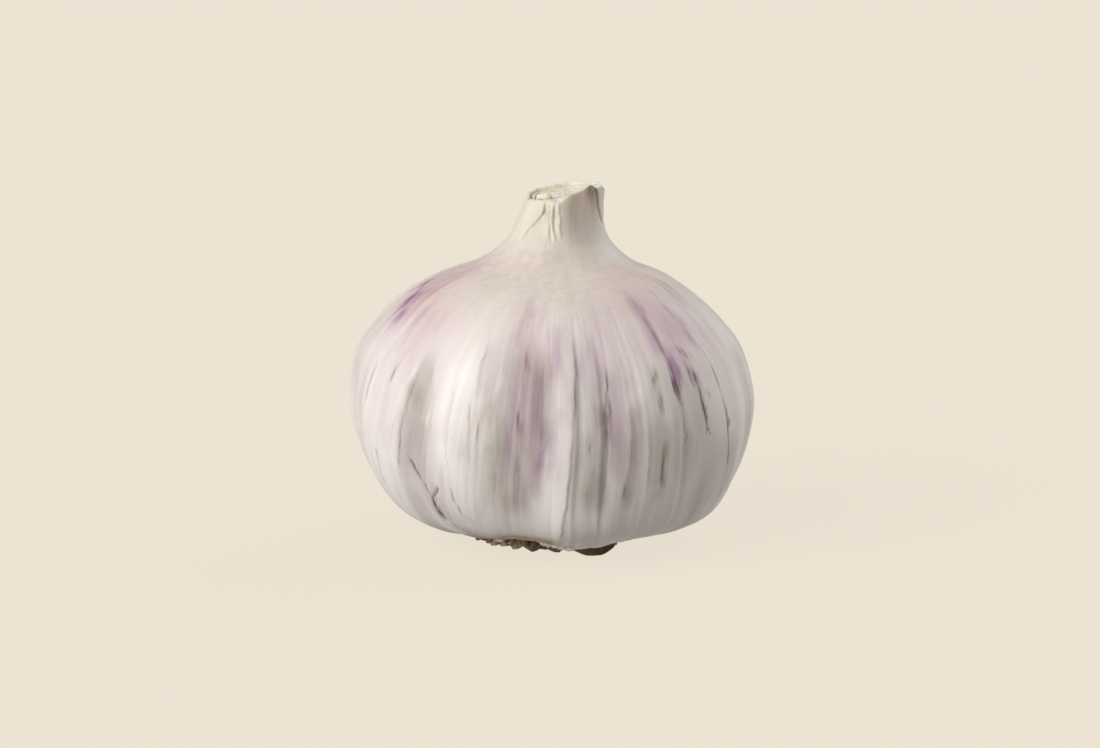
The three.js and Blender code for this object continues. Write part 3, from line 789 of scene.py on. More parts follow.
def streak_masks(place, streaks):
    """The strength of each kind of streak at each point: the strongest of the lines there, made ragged."""
    azimuth, height, _ = place
    rough = RAGGEDNESS * (1 - smoothstep(height, *RAGGED_TOP))
    ragged = np.clip(RAGGED_MEAN + rough * waves(azimuth, height, *RAGGED_WAVES), *RAGGED_ENDS)
    even = 1 - (1 - ragged) * SOFT_SHARE
    masks = {kind: np.zeros_like(azimuth) for kind in KINDS}
    for kind, width, strength, line in streaks:
        bell = near_line(place, line, width, STREAK_FADE + WASH_FADE * width)
        masks[kind] = np.maximum(masks[kind], strength * bell)
    # the painted shadows beside edges go into the shade mask
    for reach, strength, line in SHADOWS:
        masks["shade"] = np.maximum(masks["shade"], strength * beside_line(place, line, reach))
    for kind, mask in masks.items():
        masks[kind] = np.clip(mask * (even if kind in SOFT_KINDS else ragged), 0, 1)
    return masks


def by_row(outer_values, inner_value):
    """A grid over the skin from a value for each row of its outside, and one value for the rows inside."""
    values = np.concatenate([outer_values, np.full(len(skin_points) - ROWS, inner_value)])
    return np.broadcast_to(values[:, None], skin_points.shape[:2])


outer_radius, outer_height, _, _ = outline_at(ways)
azimuth_grid = np.broadcast_to(azimuths, skin_points.shape[:2])
height_grid = by_row(outer_height, CUT_HEIGHT)
skin_place = (azimuth_grid, height_grid, by_row(outer_radius, NECK_RADIUS))
# a thin line of painted shadow beside each edge of the front, put into the dark mask
edge_shadow_lines = [("dark", EDGE_SHADOW_WIDTH, edge_shadow, shifted(line, EDGE_SHADOW_SHIFT)) for _, _, edge_shadow, line in front_edges]
masks = streak_masks(skin_place, front_streaks + edge_shadow_lines + back_streaks())
for name, mask in masks.items():
    set_attribute(skin, name, with_ends(mask))
print("largest strengths:", ", ".join(f"{name} {mask.max():.2f}" for name, mask in masks.items()))

# %% [markdown]
# ## Places for the material
# The material needs to know where on the skin it is. `strand` is a place on a cylinder round the head, so
# that noise read there runs round without a seam, and stretches along the veins when its height is scaled.
# `height` is the height in mm, `gap` is up to 1 in the split and in the neck's groove, where painted
# shade darkens them, `foot` is 1 at the skin's lower edge, where earth has stained it, and `inner` is 1
# inside the neck.

# %% Places for the material
FOOT_WAYS = (12.5, 16)  # the earth's stain ends between these ways along the outline, in mm
FOOT_STAIN = (-20, 18, 1.6)  # azimuth, half width in degrees and strength of the stain at the front
REAR_STAIN = (50, 70, 0.35)  # the azimuths between which the sides' stain comes in, and its strength
STAIN_CHANGE = 0.4
STAIN_WAVES = (61, 9, 30, 0.6)

pattern_grid = pattern_azimuth(azimuth_grid, height_grid / CUT_HEIGHT)
way_grid = by_row(ways, OUTLINE_LENGTH)
strand = np.stack([*round_axis(pattern_grid, HEAD_RADIUS), way_grid], -1)
# the painted shade of the split and the neck's groove
gaps = [dark * near_line(skin_place, line, width, GAP_FADE) for width, _, dark, line in [*GAPS, NECK_GROOVE]]
gap = np.max(gaps, axis=0)

middle, half, strength = FOOT_STAIN
stain = strength * np.exp(-((wrapped(azimuth_grid - middle) / half) ** 4))
near, far, strength = REAR_STAIN
stain = stain + strength * smoothstep(np.abs(wrapped(azimuth_grid)), near, far)
uneven = 1 + STAIN_CHANGE * waves(azimuth_grid, height_grid, *STAIN_WAVES)
foot = np.clip((1 - smoothstep(way_grid, *FOOT_WAYS)) * stain * uneven, 0, 1)
inner = np.zeros_like(azimuth_grid)
inner[ROWS + 1 :] = 1
places = {"strand": strand * MM, "height": height_grid, "gap": gap, "foot": foot, "inner": inner}
for name, values in places.items():
    set_attribute(skin, name, with_ends(values))
print(f"stained at the foot: {np.mean(foot > 0.5):.1%} of the skin's points")

# %% [markdown]
# ## The sheaths in the neck
# Inside the neck lie the cut ends of the inner leaf sheaths: thin dry strips, rolled one in another and
# crushed together by the shears. Most are one long strip rolled into a spiral, whose radius wavers and
# whose cut top is ragged. A Solidify modifier gives the strip its thickness.

# %% The sheaths in the neck
ROLL_TURNS = 4.3
ROLL_START = 70  # the azimuth of its outer end
ROLL_OUTER = 4.95
ROLL_INNER = 1.45
ROLL_COLUMNS = 760
ROLL_ROWS = 12
ROLL_SUNK = 0.12  # how far its top lies under the cut at its outer end
ROLL_SLOPE = 0.25  # and how much further at its inner end
ROLL_CURL = 0.3  # how far its top edge curls in and out, in mm
ROLL_CALM = 0.25  # the share of the waver at the two ends of the strip
SHEATH = 0.22
NECK_AXIS = LEAN[-1][1]
NECK_FLOOR = CUT_HEIGHT - 2.6  # the height on which the pieces inside the neck stand
CUT_SLOPE = (0.17, 0.1)  # how much the cut rises for each mm towards +X and to the back


def cut_height(x, y):
    """The height of the neck's cut over a point: it slopes down to the front and to -X."""
    return CUT_HEIGHT + CUT_SLOPE[0] * (x - NECK_AXIS) + CUT_SLOPE[1] * y


def around_neck(azimuth, radius):
    """x and y of a point at a radius inside the neck, whose section is the neck's."""
    return round_axis(azimuth, radius * neck_section(azimuth), NECK_AXIS)


def rolled_strip(turn, up):
    """The strip's points: `turn` counts turns from its outer end, and `up` runs from 0 at its foot to 1.

    The radius shrinks evenly with the turn and wavers. The top follows the cut, raggedly, and curls.
    """
    azimuth = 360 * turn + ROLL_START
    share = turn / ROLL_TURNS
    waver = sines(np.radians(azimuth), (0.16, 4, 1.3 * turn), (0.09, 9, turn))
    waver = waver + ROLL_CURL * up**3 * np.sin(9.0 * turn + 1)
    free = ROLL_CALM + (1 - ROLL_CALM) * np.sin(math.pi * share)
    radius = ROLL_OUTER + (ROLL_INNER - ROLL_OUTER) * share + waver * free
    x, y = around_neck(azimuth, radius)
    ragged = sines(turn, (0.1, 15, 0), (0.07, 37, 2), (0.04, 89, 0))
    top = cut_height(x, y) - ROLL_SUNK + ragged - ROLL_SLOPE * share
    return np.stack([x, y, NECK_FLOOR + (top - NECK_FLOOR) * up], -1)


roll = rolled_strip(*np.meshgrid(np.linspace(0, ROLL_TURNS, ROLL_COLUMNS), np.linspace(0, 1, ROLL_ROWS)))
sheaths = build_mesh("leaf_sheaths", roll.reshape(-1, 3), grid_faces(ROLL_ROWS, ROLL_COLUMNS, False))
thicken(sheaths, "sheath thickness", SHEATH)

# %% [markdown]
# ## Crushed tissue
# Between the turns of the strip the neck is filled with crushed tissue, a disc with an uneven height. Two
# round dips in it are the dark hollows between the sheaths.

# %% Crushed tissue
TISSUE_COLUMNS = 160
TISSUE_ROWS = 44
TISSUE_RADII = (5.05, 0.1)
TISSUE_DEPTH = 0.25  # under the cut
TISSUE_ROUGHNESS = 0.1
TISSUE_WAVES = (81, 12, 11, 2.0)
TISSUE_CALM = 2  # the radius within which the waves fade towards the axis
HOLE = (-110.0, 4.0, 0.75, 1.5)  # azimuth, radius of its middle, its own radius, depth
NOTCH = (-2.0, 4.7, 0.8, 1.0)


def tissue_point(azimuth, radius):
    """The crushed tissue: the cut's height less a depth, with waves, and two round dips into the dark."""
    x, y = around_neck(azimuth, radius)
    rough = waves(azimuth, radius, *TISSUE_WAVES) * np.minimum(radius / TISSUE_CALM, 1)
    z = cut_height(x, y) - TISSUE_DEPTH + TISSUE_ROUGHNESS * rough
    for at, out, width, depth in (HOLE, NOTCH):
        hole_x, hole_y = around_neck(at, out)
        z = z - depth * np.exp(-(((x - hole_x) ** 2 + (y - hole_y) ** 2) / width**2))
    return np.stack([x, y, z], -1)


tissue_azimuths = np.linspace(-180, 180, TISSUE_COLUMNS, endpoint=False)
tissue_top = tissue_point(*np.meshgrid(tissue_azimuths, np.linspace(*TISSUE_RADII, TISSUE_ROWS)))
tissue_foot = tissue_top[:1] * (1, 1, 0) + (0, 0, NECK_FLOOR)
tissue = build_mesh("crushed_tissue", *capped_grid(np.concatenate([tissue_foot, tissue_top])))

# %% [markdown]
# ## Tubes
# The fibres at the rim and the roots are tubes: a ring of points carried along a bent line.

# %% Tubes
STEEP = 0.8  # how far up a unit vector points before it counts as upright


def tubes(lines, radii, sides):
    """Tubes along bent lines: a ring of `sides` points round each point of each line.

    lines is an array of tubes x points x 3 and radii of tubes x points. The ring lies across the line's
    direction, on two vectors at right angles to it and to each other.
    """
    way = np.gradient(lines, axis=1)
    way = way / np.linalg.norm(way, axis=-1, keepdims=True)
    helper = np.where(np.abs(way[..., 2:3]) < STEEP, (0.0, 0.0, 1.0), (1.0, 0.0, 0.0))
    across = np.cross(way, helper)
    across = across / np.linalg.norm(across, axis=-1, keepdims=True)
    other = np.cross(way, across)
    turn = np.linspace(0, 2 * math.pi, sides, endpoint=False)[None, None, :, None]
    ring = across[:, :, None] * np.cos(turn) + other[:, :, None] * np.sin(turn)
    return lines[:, :, None] + ring * radii[:, :, None, None]


def tube_mesh(name, points):
    """One mesh of many tubes, each closed with a fan at both ends."""
    count, rings, sides = points.shape[:3]
    vertices, quads, fans = zip(*(capped_grid(one) for one in points))
    step = np.arange(count)[:, None, None] * (rings * sides + 2)
    return build_mesh(name, np.concatenate(vertices), np.stack(quads) + step, np.stack(fans) + step)


# %% [markdown]
# ## The rolled leaf in the cut
# One inner leaf, still rolled, lies across the front of the cut, so its open end is a small dark hole.

# %% The rolled leaf in the cut
STUB_RIGHT = np.array((0.1, -2.9, 51.75))
STUB_LEFT = np.array((-2.05, -2.3, 51.45))
STUB_SIDE = np.array((0.27, 0.96, 0.0))
STUB_UP = np.array((-0.13, 0.04, 0.99))
STUB_OVAL = (1.15, 0.9)  # how wide and how high its section is, as shares of its radius
STUB_RADIUS = 0.55
STUB_WALL = 0.13
STUB_BLUNT = 0.25  # the share of its radius that the right end has
STUB_TURN_IN = (0.98, 1.05)  # where its wall turns in at the left end
STUB_SIDES = 32
STUB_OUTSIDE = (0, 1, 16)  # where its outer rings begin and end, and how many there are
STUB_INSIDE = (1.03, 1.6, 8)


def stub_point(turn, along):
    """A rolled leaf: an oval tube whose wall turns in at its left end and runs back inside it.

    `along` runs from 0 at the right end to 1 at the left end's edge, and to 1.6 back inside.
    """
    outside, inside = np.minimum(along, 1), np.maximum(along - 1, 0)
    middle = STUB_RIGHT + (STUB_LEFT - STUB_RIGHT) * (outside - inside)[..., None]
    radius = STUB_RADIUS * np.minimum(1, STUB_BLUNT + 4 * along) * (1 + 0.07 * np.sin(3 * turn + 5 * along))
    radius = (radius - STUB_WALL * smoothstep(along, *STUB_TURN_IN))[..., None]
    wide, high = STUB_OVAL
    turn = turn[..., None]
    return middle + radius * (wide * np.cos(turn) * STUB_SIDE + high * np.sin(turn) * STUB_UP)


stub_turns = -np.linspace(0, 2 * math.pi, STUB_SIDES, endpoint=False)
stub_along = np.concatenate([np.linspace(*STUB_OUTSIDE), np.linspace(*STUB_INSIDE)])
leaf_stub = build_mesh("leaf_stub", *capped_grid(stub_point(*np.meshgrid(stub_turns, stub_along))))

# %% [markdown]
# ## Fibres at the rim
# At the left the torn skin frays into short fibres. Each starts on the rim and bends up and outwards.

# %% Fibres at the rim
FIBRES = 26
FIBRE_POINTS = 6
FIBRE_SIDES = 5
FIBRE_SEED = 23
FIBRE_RANGE = (-112, -58)
FIBRE_START = (5.3, 0.35)  # the radius at which they start, and how far under the rim
FIBRE_LEANS = (-0.35, 0.35)
FIBRE_LENGTHS = (0.5, 1.15)
FIBRE_BENDS = (-0.1, 0.4)
FIBRE_RADII = (0.03, 0.07)
FIBRE_DROOP = 0.3  # how much less a fibre rises towards its end
FIBRE_TAPER = 0.7


def fibre_lines():
    """The fibres' lines, up, out and sideways by shares of their length, and their radii along them."""
    random = np.random.default_rng(FIBRE_SEED)
    azimuth = random.uniform(*FIBRE_RANGE, FIBRES)
    radius, under = FIBRE_START
    start = np.stack([*around_neck(azimuth, radius), CUT_HEIGHT + rim_height(azimuth) - under], -1)
    out = np.stack([*round_axis(azimuth, 1), np.zeros(FIBRES)], -1)
    lean = random.uniform(*FIBRE_LEANS, (FIBRES, 1))
    sideways = np.stack([out[:, 1], -out[:, 0], out[:, 2]], -1)
    length = random.uniform(*FIBRE_LENGTHS, (FIBRES, 1, 1))
    t = np.linspace(0, 1, FIBRE_POINTS)[None, :, None]
    bend = random.uniform(*FIBRE_BENDS, (FIBRES, 1, 1))
    up = np.array([0, 0, 1.0]) * t * (1 - FIBRE_DROOP * t)
    path = up + out[:, None] * bend * t**2 + (sideways * lean)[:, None] * t
    radii = random.uniform(*FIBRE_RADII, (FIBRES, 1)) * (1 - FIBRE_TAPER * t[..., 0])
    return start[:, None] + path * length, radii


fibres = tube_mesh("neck_fibres", tubes(*fibre_lines(), FIBRE_SIDES))

# %% [markdown]
# ## The stalk
# In the middle stands the cut end of the flower stalk, a woody stub that is wrinkled along its length.

# %% The stalk
STALK_RADII = (1.2, 0.95)
STALK_COLUMNS = 64
STALK_SUNK = 0.2  # how far it ends under the cut
STALK_PROFILE = [
    (1.0, 0.0), (1.0, 0.5), (1.02, 0.85), (0.98, 0.97), (0.85, 1.0), (0.6, 0.98), (0.4, 0.93), (0.25, 0.88),
]  # the radius and the height as shares
STALK_SPANS = 4


def stalk_point(azimuth, radius, height):
    """Points of the stub: an oval whose radius is wrinkled along its length, cut along the neck's cut."""
    wrinkle = 1 + sines(np.radians(azimuth), (0.05, 7, 0), (0.03, 17, 0))
    x, y = round_axis(azimuth, radius * wrinkle)
    x, y = STALK_RADII[0] * x + NECK_AXIS, STALK_RADII[1] * y
    return np.stack([x, y, NECK_FLOOR + (cut_height(x, y) - STALK_SUNK - NECK_FLOOR) * height], -1)


stalk = turned_piece("stalk_stub", STALK_PROFILE, STALK_SPANS, STALK_COLUMNS, stalk_point)

# %% [markdown]
# ## The root plate
# The roots stand close together on a corky plate. At the front right its woody edge shows, which is a lobe.

# %% The root plate
PLATE_RADIUS = 9.3
PLATE_THICKNESS = 3.5
FLAT_RADIUS = 4.6  # the plate rests on the table within this radius
ROUGH_FROM = 2  # how far outside it the edge's roughness is full
PLATE_ROUGHNESS = 0.16
PLATE_WAVES = (71, 12, 24, 1.4)
PLATE_LOBE = (34, 18, 4.8)  # azimuth and half width in degrees, and how far it stands out in mm
LOBE_RISE = 0.09  # how much the lobe's edge rises for each degree from this azimuth on, in mm
LOBE_RISE_FROM = 30
LOBE_DROOP = 0.24  # how much it hangs down for each mm that it stands out
PLATE_COLUMNS = 160
PLATE_SPANS = 3
PLATE_PROFILE = [
    (0.6, 0), (3.0, 0), (FLAT_RADIUS, 0), (5.2, 0.3), (7.0, 0.5), (8.6, 0.35), (PLATE_RADIUS, 0.9),
    (9.2, 2.2), (8.2, PLATE_THICKNESS), (4, PLATE_THICKNESS), (0.6, PLATE_THICKNESS),
]


def plate_lobe(azimuth):
    """How far the plate's woody edge stands out at an azimuth: a flat-topped bell round the lobe's middle."""
    middle, half, out = PLATE_LOBE
    return out * np.exp(-((wrapped(azimuth - middle) / half) ** 4))


def plate_point(azimuth, radius, height):
    """The corky disc: a turned profile roughened by waves, with the lobe, flat where it meets the table."""
    height = np.maximum(height, 0)
    outer = smoothstep(radius, FLAT_RADIUS, FLAT_RADIUS + ROUGH_FROM)
    rough = PLATE_ROUGHNESS * waves(azimuth, radius * 3, *PLATE_WAVES) * outer
    lobe = plate_lobe(azimuth) * outer
    rise = LOBE_RISE * np.maximum(wrapped(azimuth - LOBE_RISE_FROM), 0) * lobe / PLATE_LOBE[2]
    z = height + 0.3 * rough - LOBE_DROOP * lobe * smoothstep(height, 0.2, 1.0) + rise
    return np.stack([*round_axis(azimuth, radius + rough + lobe), np.maximum(z, 0)], -1)


plate = turned_piece("root_plate_disc", PLATE_PROFILE, PLATE_SPANS, PLATE_COLUMNS, plate_point)

# %% [markdown]
# ## Roots
# The roots of a dried head are trimmed to short stubs, which bend outwards and end about level with the
# table. Each is a tapered tube along a bent line, and `tone` gives it a shade of its own.

# %% Roots
ROOTS = 165
ROOT_RINGS = 9
ROOT_SIDES = 8
ROOT_SEED = 7
GOLDEN_ANGLE = 180 * (3 - math.sqrt(5))
ROOT_CIRCLE = (3.4, 5.5)  # the radius at which the innermost one stands, and how much more the outermost has
ROOT_SPLAY = (8, 54)  # the same for how far they lean out, in degrees
ROOT_LENGTH = (2.4, 1.2)  # and for their length, in mm
ROOT_SCATTER = (5, 9, 14)  # how far azimuth, splay and bend vary, in degrees
ROOT_LENGTHS = (0.82, 1.08)
ROOT_RADII = (0.45, 1.0)
ROOT_TAPER = (0.2, 0.4)  # how much thinner it grows along its way, and how much more at its very end
ROOT_BUMPS = 0.1
ROOT_TOP = 0.68 * PLATE_THICKNESS
UNDER_LOBE = 0.35  # how far the roots stand back there, for each mm of the lobe


def root_tubes():
    """All root stubs as tubes.

    Root k grows at the golden angle times k, on a radius that goes with the square root of k, so that they
    stand evenly. It leans out more the further out it stands, bends to one side, and tapers along its way.
    """
    random = np.random.default_rng(ROOT_SEED)
    off_azimuth, off_splay, off_bend = ROOT_SCATTER
    k = np.arange(ROOTS)
    out = np.sqrt((k + 0.5) / ROOTS)
    azimuth = k * GOLDEN_ANGLE + random.uniform(-off_azimuth, off_azimuth, ROOTS)
    ring = ROOT_CIRCLE[0] + ROOT_CIRCLE[1] * out - UNDER_LOBE * plate_lobe(azimuth) * out
    splay = ROOT_SPLAY[0] + ROOT_SPLAY[1] * out**1.5 + random.uniform(-off_splay, off_splay, ROOTS)
    splay = np.radians(splay)[:, None]
    length = (ROOT_LENGTH[0] + ROOT_LENGTH[1] * out) * random.uniform(*ROOT_LENGTHS, ROOTS)
    thick = random.uniform(*ROOT_RADII, ROOTS)
    bend = random.uniform(-off_bend, off_bend, ROOTS)
    t = np.linspace(0, 1, ROOT_RINGS)[None, :]
    along = length[:, None] * t
    taper = 1 - ROOT_TAPER[0] * t**2 - ROOT_TAPER[1] * t**10
    radii = thick[:, None] * taper * (1 + ROOT_BUMPS * np.sin(5 * t + k[:, None]))
    z = np.maximum(ROOT_TOP - along * np.cos(splay), radii)
    bent = azimuth[:, None] + bend[:, None] * t**2
    x, y = round_axis(bent, ring[:, None] + along * np.sin(splay))
    return tubes(np.stack([x, y, z], -1), radii, ROOT_SIDES)


roots = tube_mesh("root_stubs", root_tubes())
root_tones = np.random.default_rng(ROOT_SEED + 1).uniform(0, 1, ROOTS)
set_attribute(roots, "tone", np.repeat(root_tones, ROOT_RINGS * ROOT_SIDES + 2))
set_attribute(plate, "tone", np.zeros(len(plate.data.vertices)))

# %% [markdown]
# ## Loose flakes
# Bits of the outermost skin have come loose: some curl up beside the split, and some hang from the skin's
# edge over the roots. Each is a small bent sheet, and all of them are one mesh with a Solidify modifier.

# %% Loose flakes
FLAKE_ROWS = 9
FLAKE_COLUMNS = 6
FLAKE_THICKNESS = 0.09
FLAKE_LIFT = 0.05  # how far a flake lies off the skin, in mm
FLAKE_DISH = 0.12  # how far its sides stand up at its free end, for each unit across it
FLAKE_POINT = 0.9  # how far its width tapers
FOOT_WAY = 11.0  # where on the outline the torn ends hang from, in mm
FLAKES = [
    # azimuth, height, length along the head, width, how far the free end curls out, how far it hangs; in mm
    (-42.6, 11.6, 0.6, 0.35, 0.1, 0.0), (-38.9, 8.6, 0.7, 0.3, 0.1, 0.0), (-6, None, 0.0, 2.4, 0.1, 0.5),
    (-0.5, None, 0.0, 2.8, 0.1, 0.35), (4, None, 0.0, 1.7, 0.15, 0.45), (-27, None, 0.0, 1.6, 0.1, 0.4),
]  # those without a height hang from the foot


def flake_points():
    """Each flake is a grid: along it by its length, across it by a width that tapers to its free end.

    A flake on the head follows the skin and stands out by curl times the square of the way along it. A torn
    end starts at the foot and goes straight down instead.
    """
    ways_along, ways_across = np.linspace(0, 1, FLAKE_ROWS), np.linspace(-0.5, 0.5, FLAKE_COLUMNS)
    along, across = np.meshgrid(ways_along, ways_across, indexing="ij")
    rising = np.arange(len(outline_way)) > np.argmin(outline_curve[:, 1])
    made = []
    for k, (azimuth, height, length, width, curl, down) in enumerate(FLAKES):
        way = FOOT_WAY if height is None else np.interp(height, outline_curve[rising, 1], outline_way[rising])
        taper = np.sqrt(1 - along**2 * FLAKE_POINT) * (1 + 0.25 * np.sin(5 * along + k))
        radius = outline_at(np.array([way]))[0][0]
        turned = azimuth + np.degrees(across * width * taper / radius)
        points = skin_point(turned, way + along * length * (1 + 0.12 * np.sin(7 * across + k)))
        stand = FLAKE_LIFT + curl * along**2 + FLAKE_DISH * np.abs(across) * along
        drop = -down * along * (1 + 0.15 * np.sin(9 * across + 2 * k))
        made.append(points + np.stack([*round_axis(turned, stand), drop], -1))
    return np.array(made)


flakes_grid = flake_points()
flake_step = np.arange(len(flakes_grid))[:, None, None] * FLAKE_ROWS * FLAKE_COLUMNS
flake_quads = grid_faces(FLAKE_ROWS, FLAKE_COLUMNS, False)[None] + flake_step
flakes = build_mesh("skin_flakes", flakes_grid.reshape(-1, 3), flake_quads)
thicken(flakes, "skin thickness", FLAKE_THICKNESS)

# %% [markdown]
# ## Materials
# Colours are given as on a colour card, in sRGB, and one function turns them into the linear values that
# the shader works with. One small function adds a node with its settings and links.


# %% Colour and node helpers
def colour(hex_code):
    """An sRGB hex colour as linear RGBA.

    Each channel c is c / 12.92 below 0.04045, and else ((c + 0.055) / 1.055)^2.4.
    """
    channels = [int(hex_code[i : i + 2], 16) / 255 for i in (1, 3, 5)]
    return [c / 12.92 if c <= 0.04045 else ((c + 0.055) / 1.055) ** 2.4 for c in channels] + [1.0]


def add(tree, kind, inputs=None, **settings):
    """Adds a shader node to the tree: settings are its own, and inputs gives its sockets values or links."""
    made = tree.nodes.new("ShaderNode" + kind)
    for name, value in settings.items():
        setattr(made, name, value)
    for name, value in (inputs or {}).items():
        if isinstance(value, bpy.types.NodeSocket):
            tree.links.new(value, made.inputs[name])
        else:
            made.inputs[name].default_value = value
    return made


def new_material(name):
    """A material with an empty node tree, and the tree."""
    material = bpy.data.materials.new(name)
    material.use_nodes = True
    material.node_tree.nodes.clear()
    return material, material.node_tree


def cover(material, *pieces):
    """Gives pieces their material."""
    for piece in pieces:
        piece.data.materials.append(material)
    print(f"{material.name}:", ", ".join(piece.name for piece in pieces))


# %% [markdown]
# ### Papery skin
# Dry garlic skin is a few layers of leaf, each thinner than paper. It is white to cream, lets some light
# in, and has a silky sheen that follows its fibres. Its pigment sits in the veins, so every stain is a
# streak along the head, and it is blotchy where the pigment dried unevenly. All noise but the mottle is
# read at `strand`, with the height scaled down, which stretches it along the head.
# Veins are drawn about 1.2 mm apart, and fibres about 0.4 mm apart, coarser than the real ones, which are
# under 0.1 mm and wouldn't show.
# Some of these marks are painted light: `shade` is painted shade, `pale` painted highlight, `gap` painted
# shade in the split and the neck's groove, and `dark` partly painted shadow lines.

# %% Papery skin
STAIN_SIZE = 7 * MM
BLOTCH_SIZE = 2.4 * MM
MOTTLE_SIZE = 1.3 * MM
VEIN_SPACING = 1.2 * MM
CRINKLE_SIZE = 0.9 * MM
FIBRE_SPACING = 0.42 * MM


def papery_skin():
    """The material of the outer skin, which reads the marks that the mesh keeps for each vertex."""
    material, tree = new_material("dry papery skin")
    mark = {
        name: add(tree, "Attribute", attribute_name=name).outputs["Fac"]
        for name in (*KINDS, "height", "gap", "foot", "inner")
    }
    strand = add(tree, "Attribute", attribute_name="strand").outputs["Vector"]
    place = add(tree, "TexCoord").outputs["Object"]
    noise = {}
    for name, where, spacing, stretch, detail in (
        ("stain", strand, STAIN_SIZE, 5, 2.0),
        ("blotch", strand, BLOTCH_SIZE, 2.5, 5.0),
        ("veins", strand, VEIN_SPACING, 26, 3.0),
        ("crinkle", strand, CRINKLE_SIZE, 3, 5.0),
        ("fibres", strand, FIBRE_SPACING, 30, 2.0),
        ("mottle", place, MOTTLE_SIZE, 1, 5.0),
    ):
        stretched = add(tree, "Mapping", {"Vector": where, "Scale": (1, 1, 1 / stretch)}).outputs[0]
        texture = add(tree, "TexNoise", {"Vector": stretched, "Scale": 1 / spacing, "Detail": detail})
        noise[name] = texture.outputs["Fac"]

    share = {}
    for name, source, low, high, to_low, to_high in (
        ("upper half", mark["height"], 24, 34, 0, 1),
        ("shoulder", mark["height"], 34, 42, 0, 1),
        ("neck", mark["height"], 42, 49, 0, 1),
        ("stained", noise["stain"], 0.35, 0.65, 0, 0.55),
        ("blotched", noise["blotch"], 0.5, 0.72, 0, 0.3),
        ("veined", noise["veins"], 0.48, 0.74, 0, 0.2),
        ("bleached", noise["veins"], 0.28, 0.42, 0.3, 0),
        ("mottled", noise["mottle"], 0.35, 0.7, 0, 0.65),
        ("streaky", noise["fibres"], 0.34, 0.6, 0.7, 1.0),
        ("patchy", noise["blotch"], 0.36, 0.58, 0.5, 1.15),
        # this only breaks up the painted shade along the veins
        ("worn", noise["veins"], 0.3, 0.7, 0.75, 1.15),
        ("uneven", noise["crinkle"], 0.3, 0.7, -0.3, 0.4),
        ("frayed", noise["fibres"], 0.3, 0.7, 0.6, 1.4),
        ("vein bump", mark["height"], 36, 44, 0.3, 0.0),
        ("roughness", noise["fibres"], 0.3, 0.7, 0.46, 0.58),
    ):
        ends = {"Value": source, "From Min": low, "From Max": high, "To Min": to_low, "To Max": to_high}
        share[name] = add(tree, "MapRange", ends, interpolation_type="SMOOTHSTEP").outputs[0]
    for name, a, b in (
        ("mottled shoulder", share["mottled"], share["shoulder"]),
        ("broken", share["streaky"], share["patchy"]),
        # the painted shade, made uneven along the veins
        ("shade", mark["shade"], share["worn"]),
    ):
        share[name] = add(tree, "Math", {0: a, 1: b}, operation="MULTIPLY").outputs[0]
    for name in ("lilac", "olive"):
        share[name] = add(tree, "Math", {0: mark[name], 1: share["broken"]}, operation="MULTIPLY").outputs[0]
    torn = add(tree, "Math", {0: share["uneven"], 1: share["frayed"]}, operation="ADD").outputs[0]
    for name in ("wine", "dark"):
        torn_mark = add(tree, "Math", {0: mark[name], 1: torn}, operation="MULTIPLY").outputs[0]
        ends = {"Value": torn_mark, "From Min": 0.08, "From Max": 0.95, "To Max": 0.95}
        share[name] = add(tree, "MapRange", ends, interpolation_type="SMOOTHSTEP").outputs[0]

    tone = colour("#f1eae4")
    for factor, paint in (
        (share["upper half"], "#e6dbd5"),
        (share["stained"], "#dcccc9"),
        (share["blotched"], "#d9cac6"),
        (share["veined"], "#c9b8b2"),
        (share["bleached"], "#f9f4ef"),
        (share["shoulder"], "#ddd1c5"),
        (share["mottled shoulder"], "#cec2b5"),
        (share["neck"], "#dfd5c6"),
        # painted highlight
        (mark["pale"], "#fbf8f4"),
        # painted shade
        (share["shade"], "#9c8b86"),
        (mark["blush"], "#c9a2a8"),
        (share["lilac"], "#a67e9c"),
        (share["wine"], "#7d4b6a"),
        (share["olive"], "#9a9070"),
        (mark["tan"], "#c2957c"),
        # dark lines, partly the skin's own and partly painted shadow, with the painted shadow lines beside
        # the edges
        (share["dark"], "#67564f"),
        (mark["foot"], "#9a7648"),
        # painted shade in the split and in the neck's groove
        (mark["gap"], "#2c2418"),
        (mark["inner"], "#e3dbc6"),
    ):
        tone = add(tree, "Mix", {0: factor, 6: tone, 7: colour(paint)}, data_type="RGBA").outputs[2]

    relief = None
    for source, strength, depth in (
        ("fibres", 0.35, 0.07 * MM),
        ("veins", share["vein bump"], 0.2 * MM),
        ("crinkle", 0.3, 0.16 * MM),
        ("mottle", 0.14, 0.2 * MM),
    ):
        bump = add(tree, "Bump", {"Height": noise[source], "Strength": strength, "Distance": depth})
        if relief:
            tree.links.new(relief, bump.inputs["Normal"])
        relief = bump.outputs[0]
    shader = add(
        tree,
        "BsdfPrincipled",
        {
            "Base Color": tone,
            "Roughness": share["roughness"],
            "Normal": relief,
            "IOR": 1.46,
            "Subsurface Weight": 0.15,
            "Subsurface Radius": (1.0, 0.7, 0.5),
            "Subsurface Scale": 1.2 * MM,
            "Sheen Weight": 0.12,
            "Sheen Roughness": 0.4,
        },
    )
    add(tree, "OutputMaterial", {"Surface": shader.outputs[0]})
    return material


cover(papery_skin(), skin)

# %% [markdown]
# ### Leaf sheath and stalk
# The inner sheaths are the same leaf, thicker and matte, cream with greenish and tan parts where they were
# cut last. The stalk is a pale straw-coloured wood.


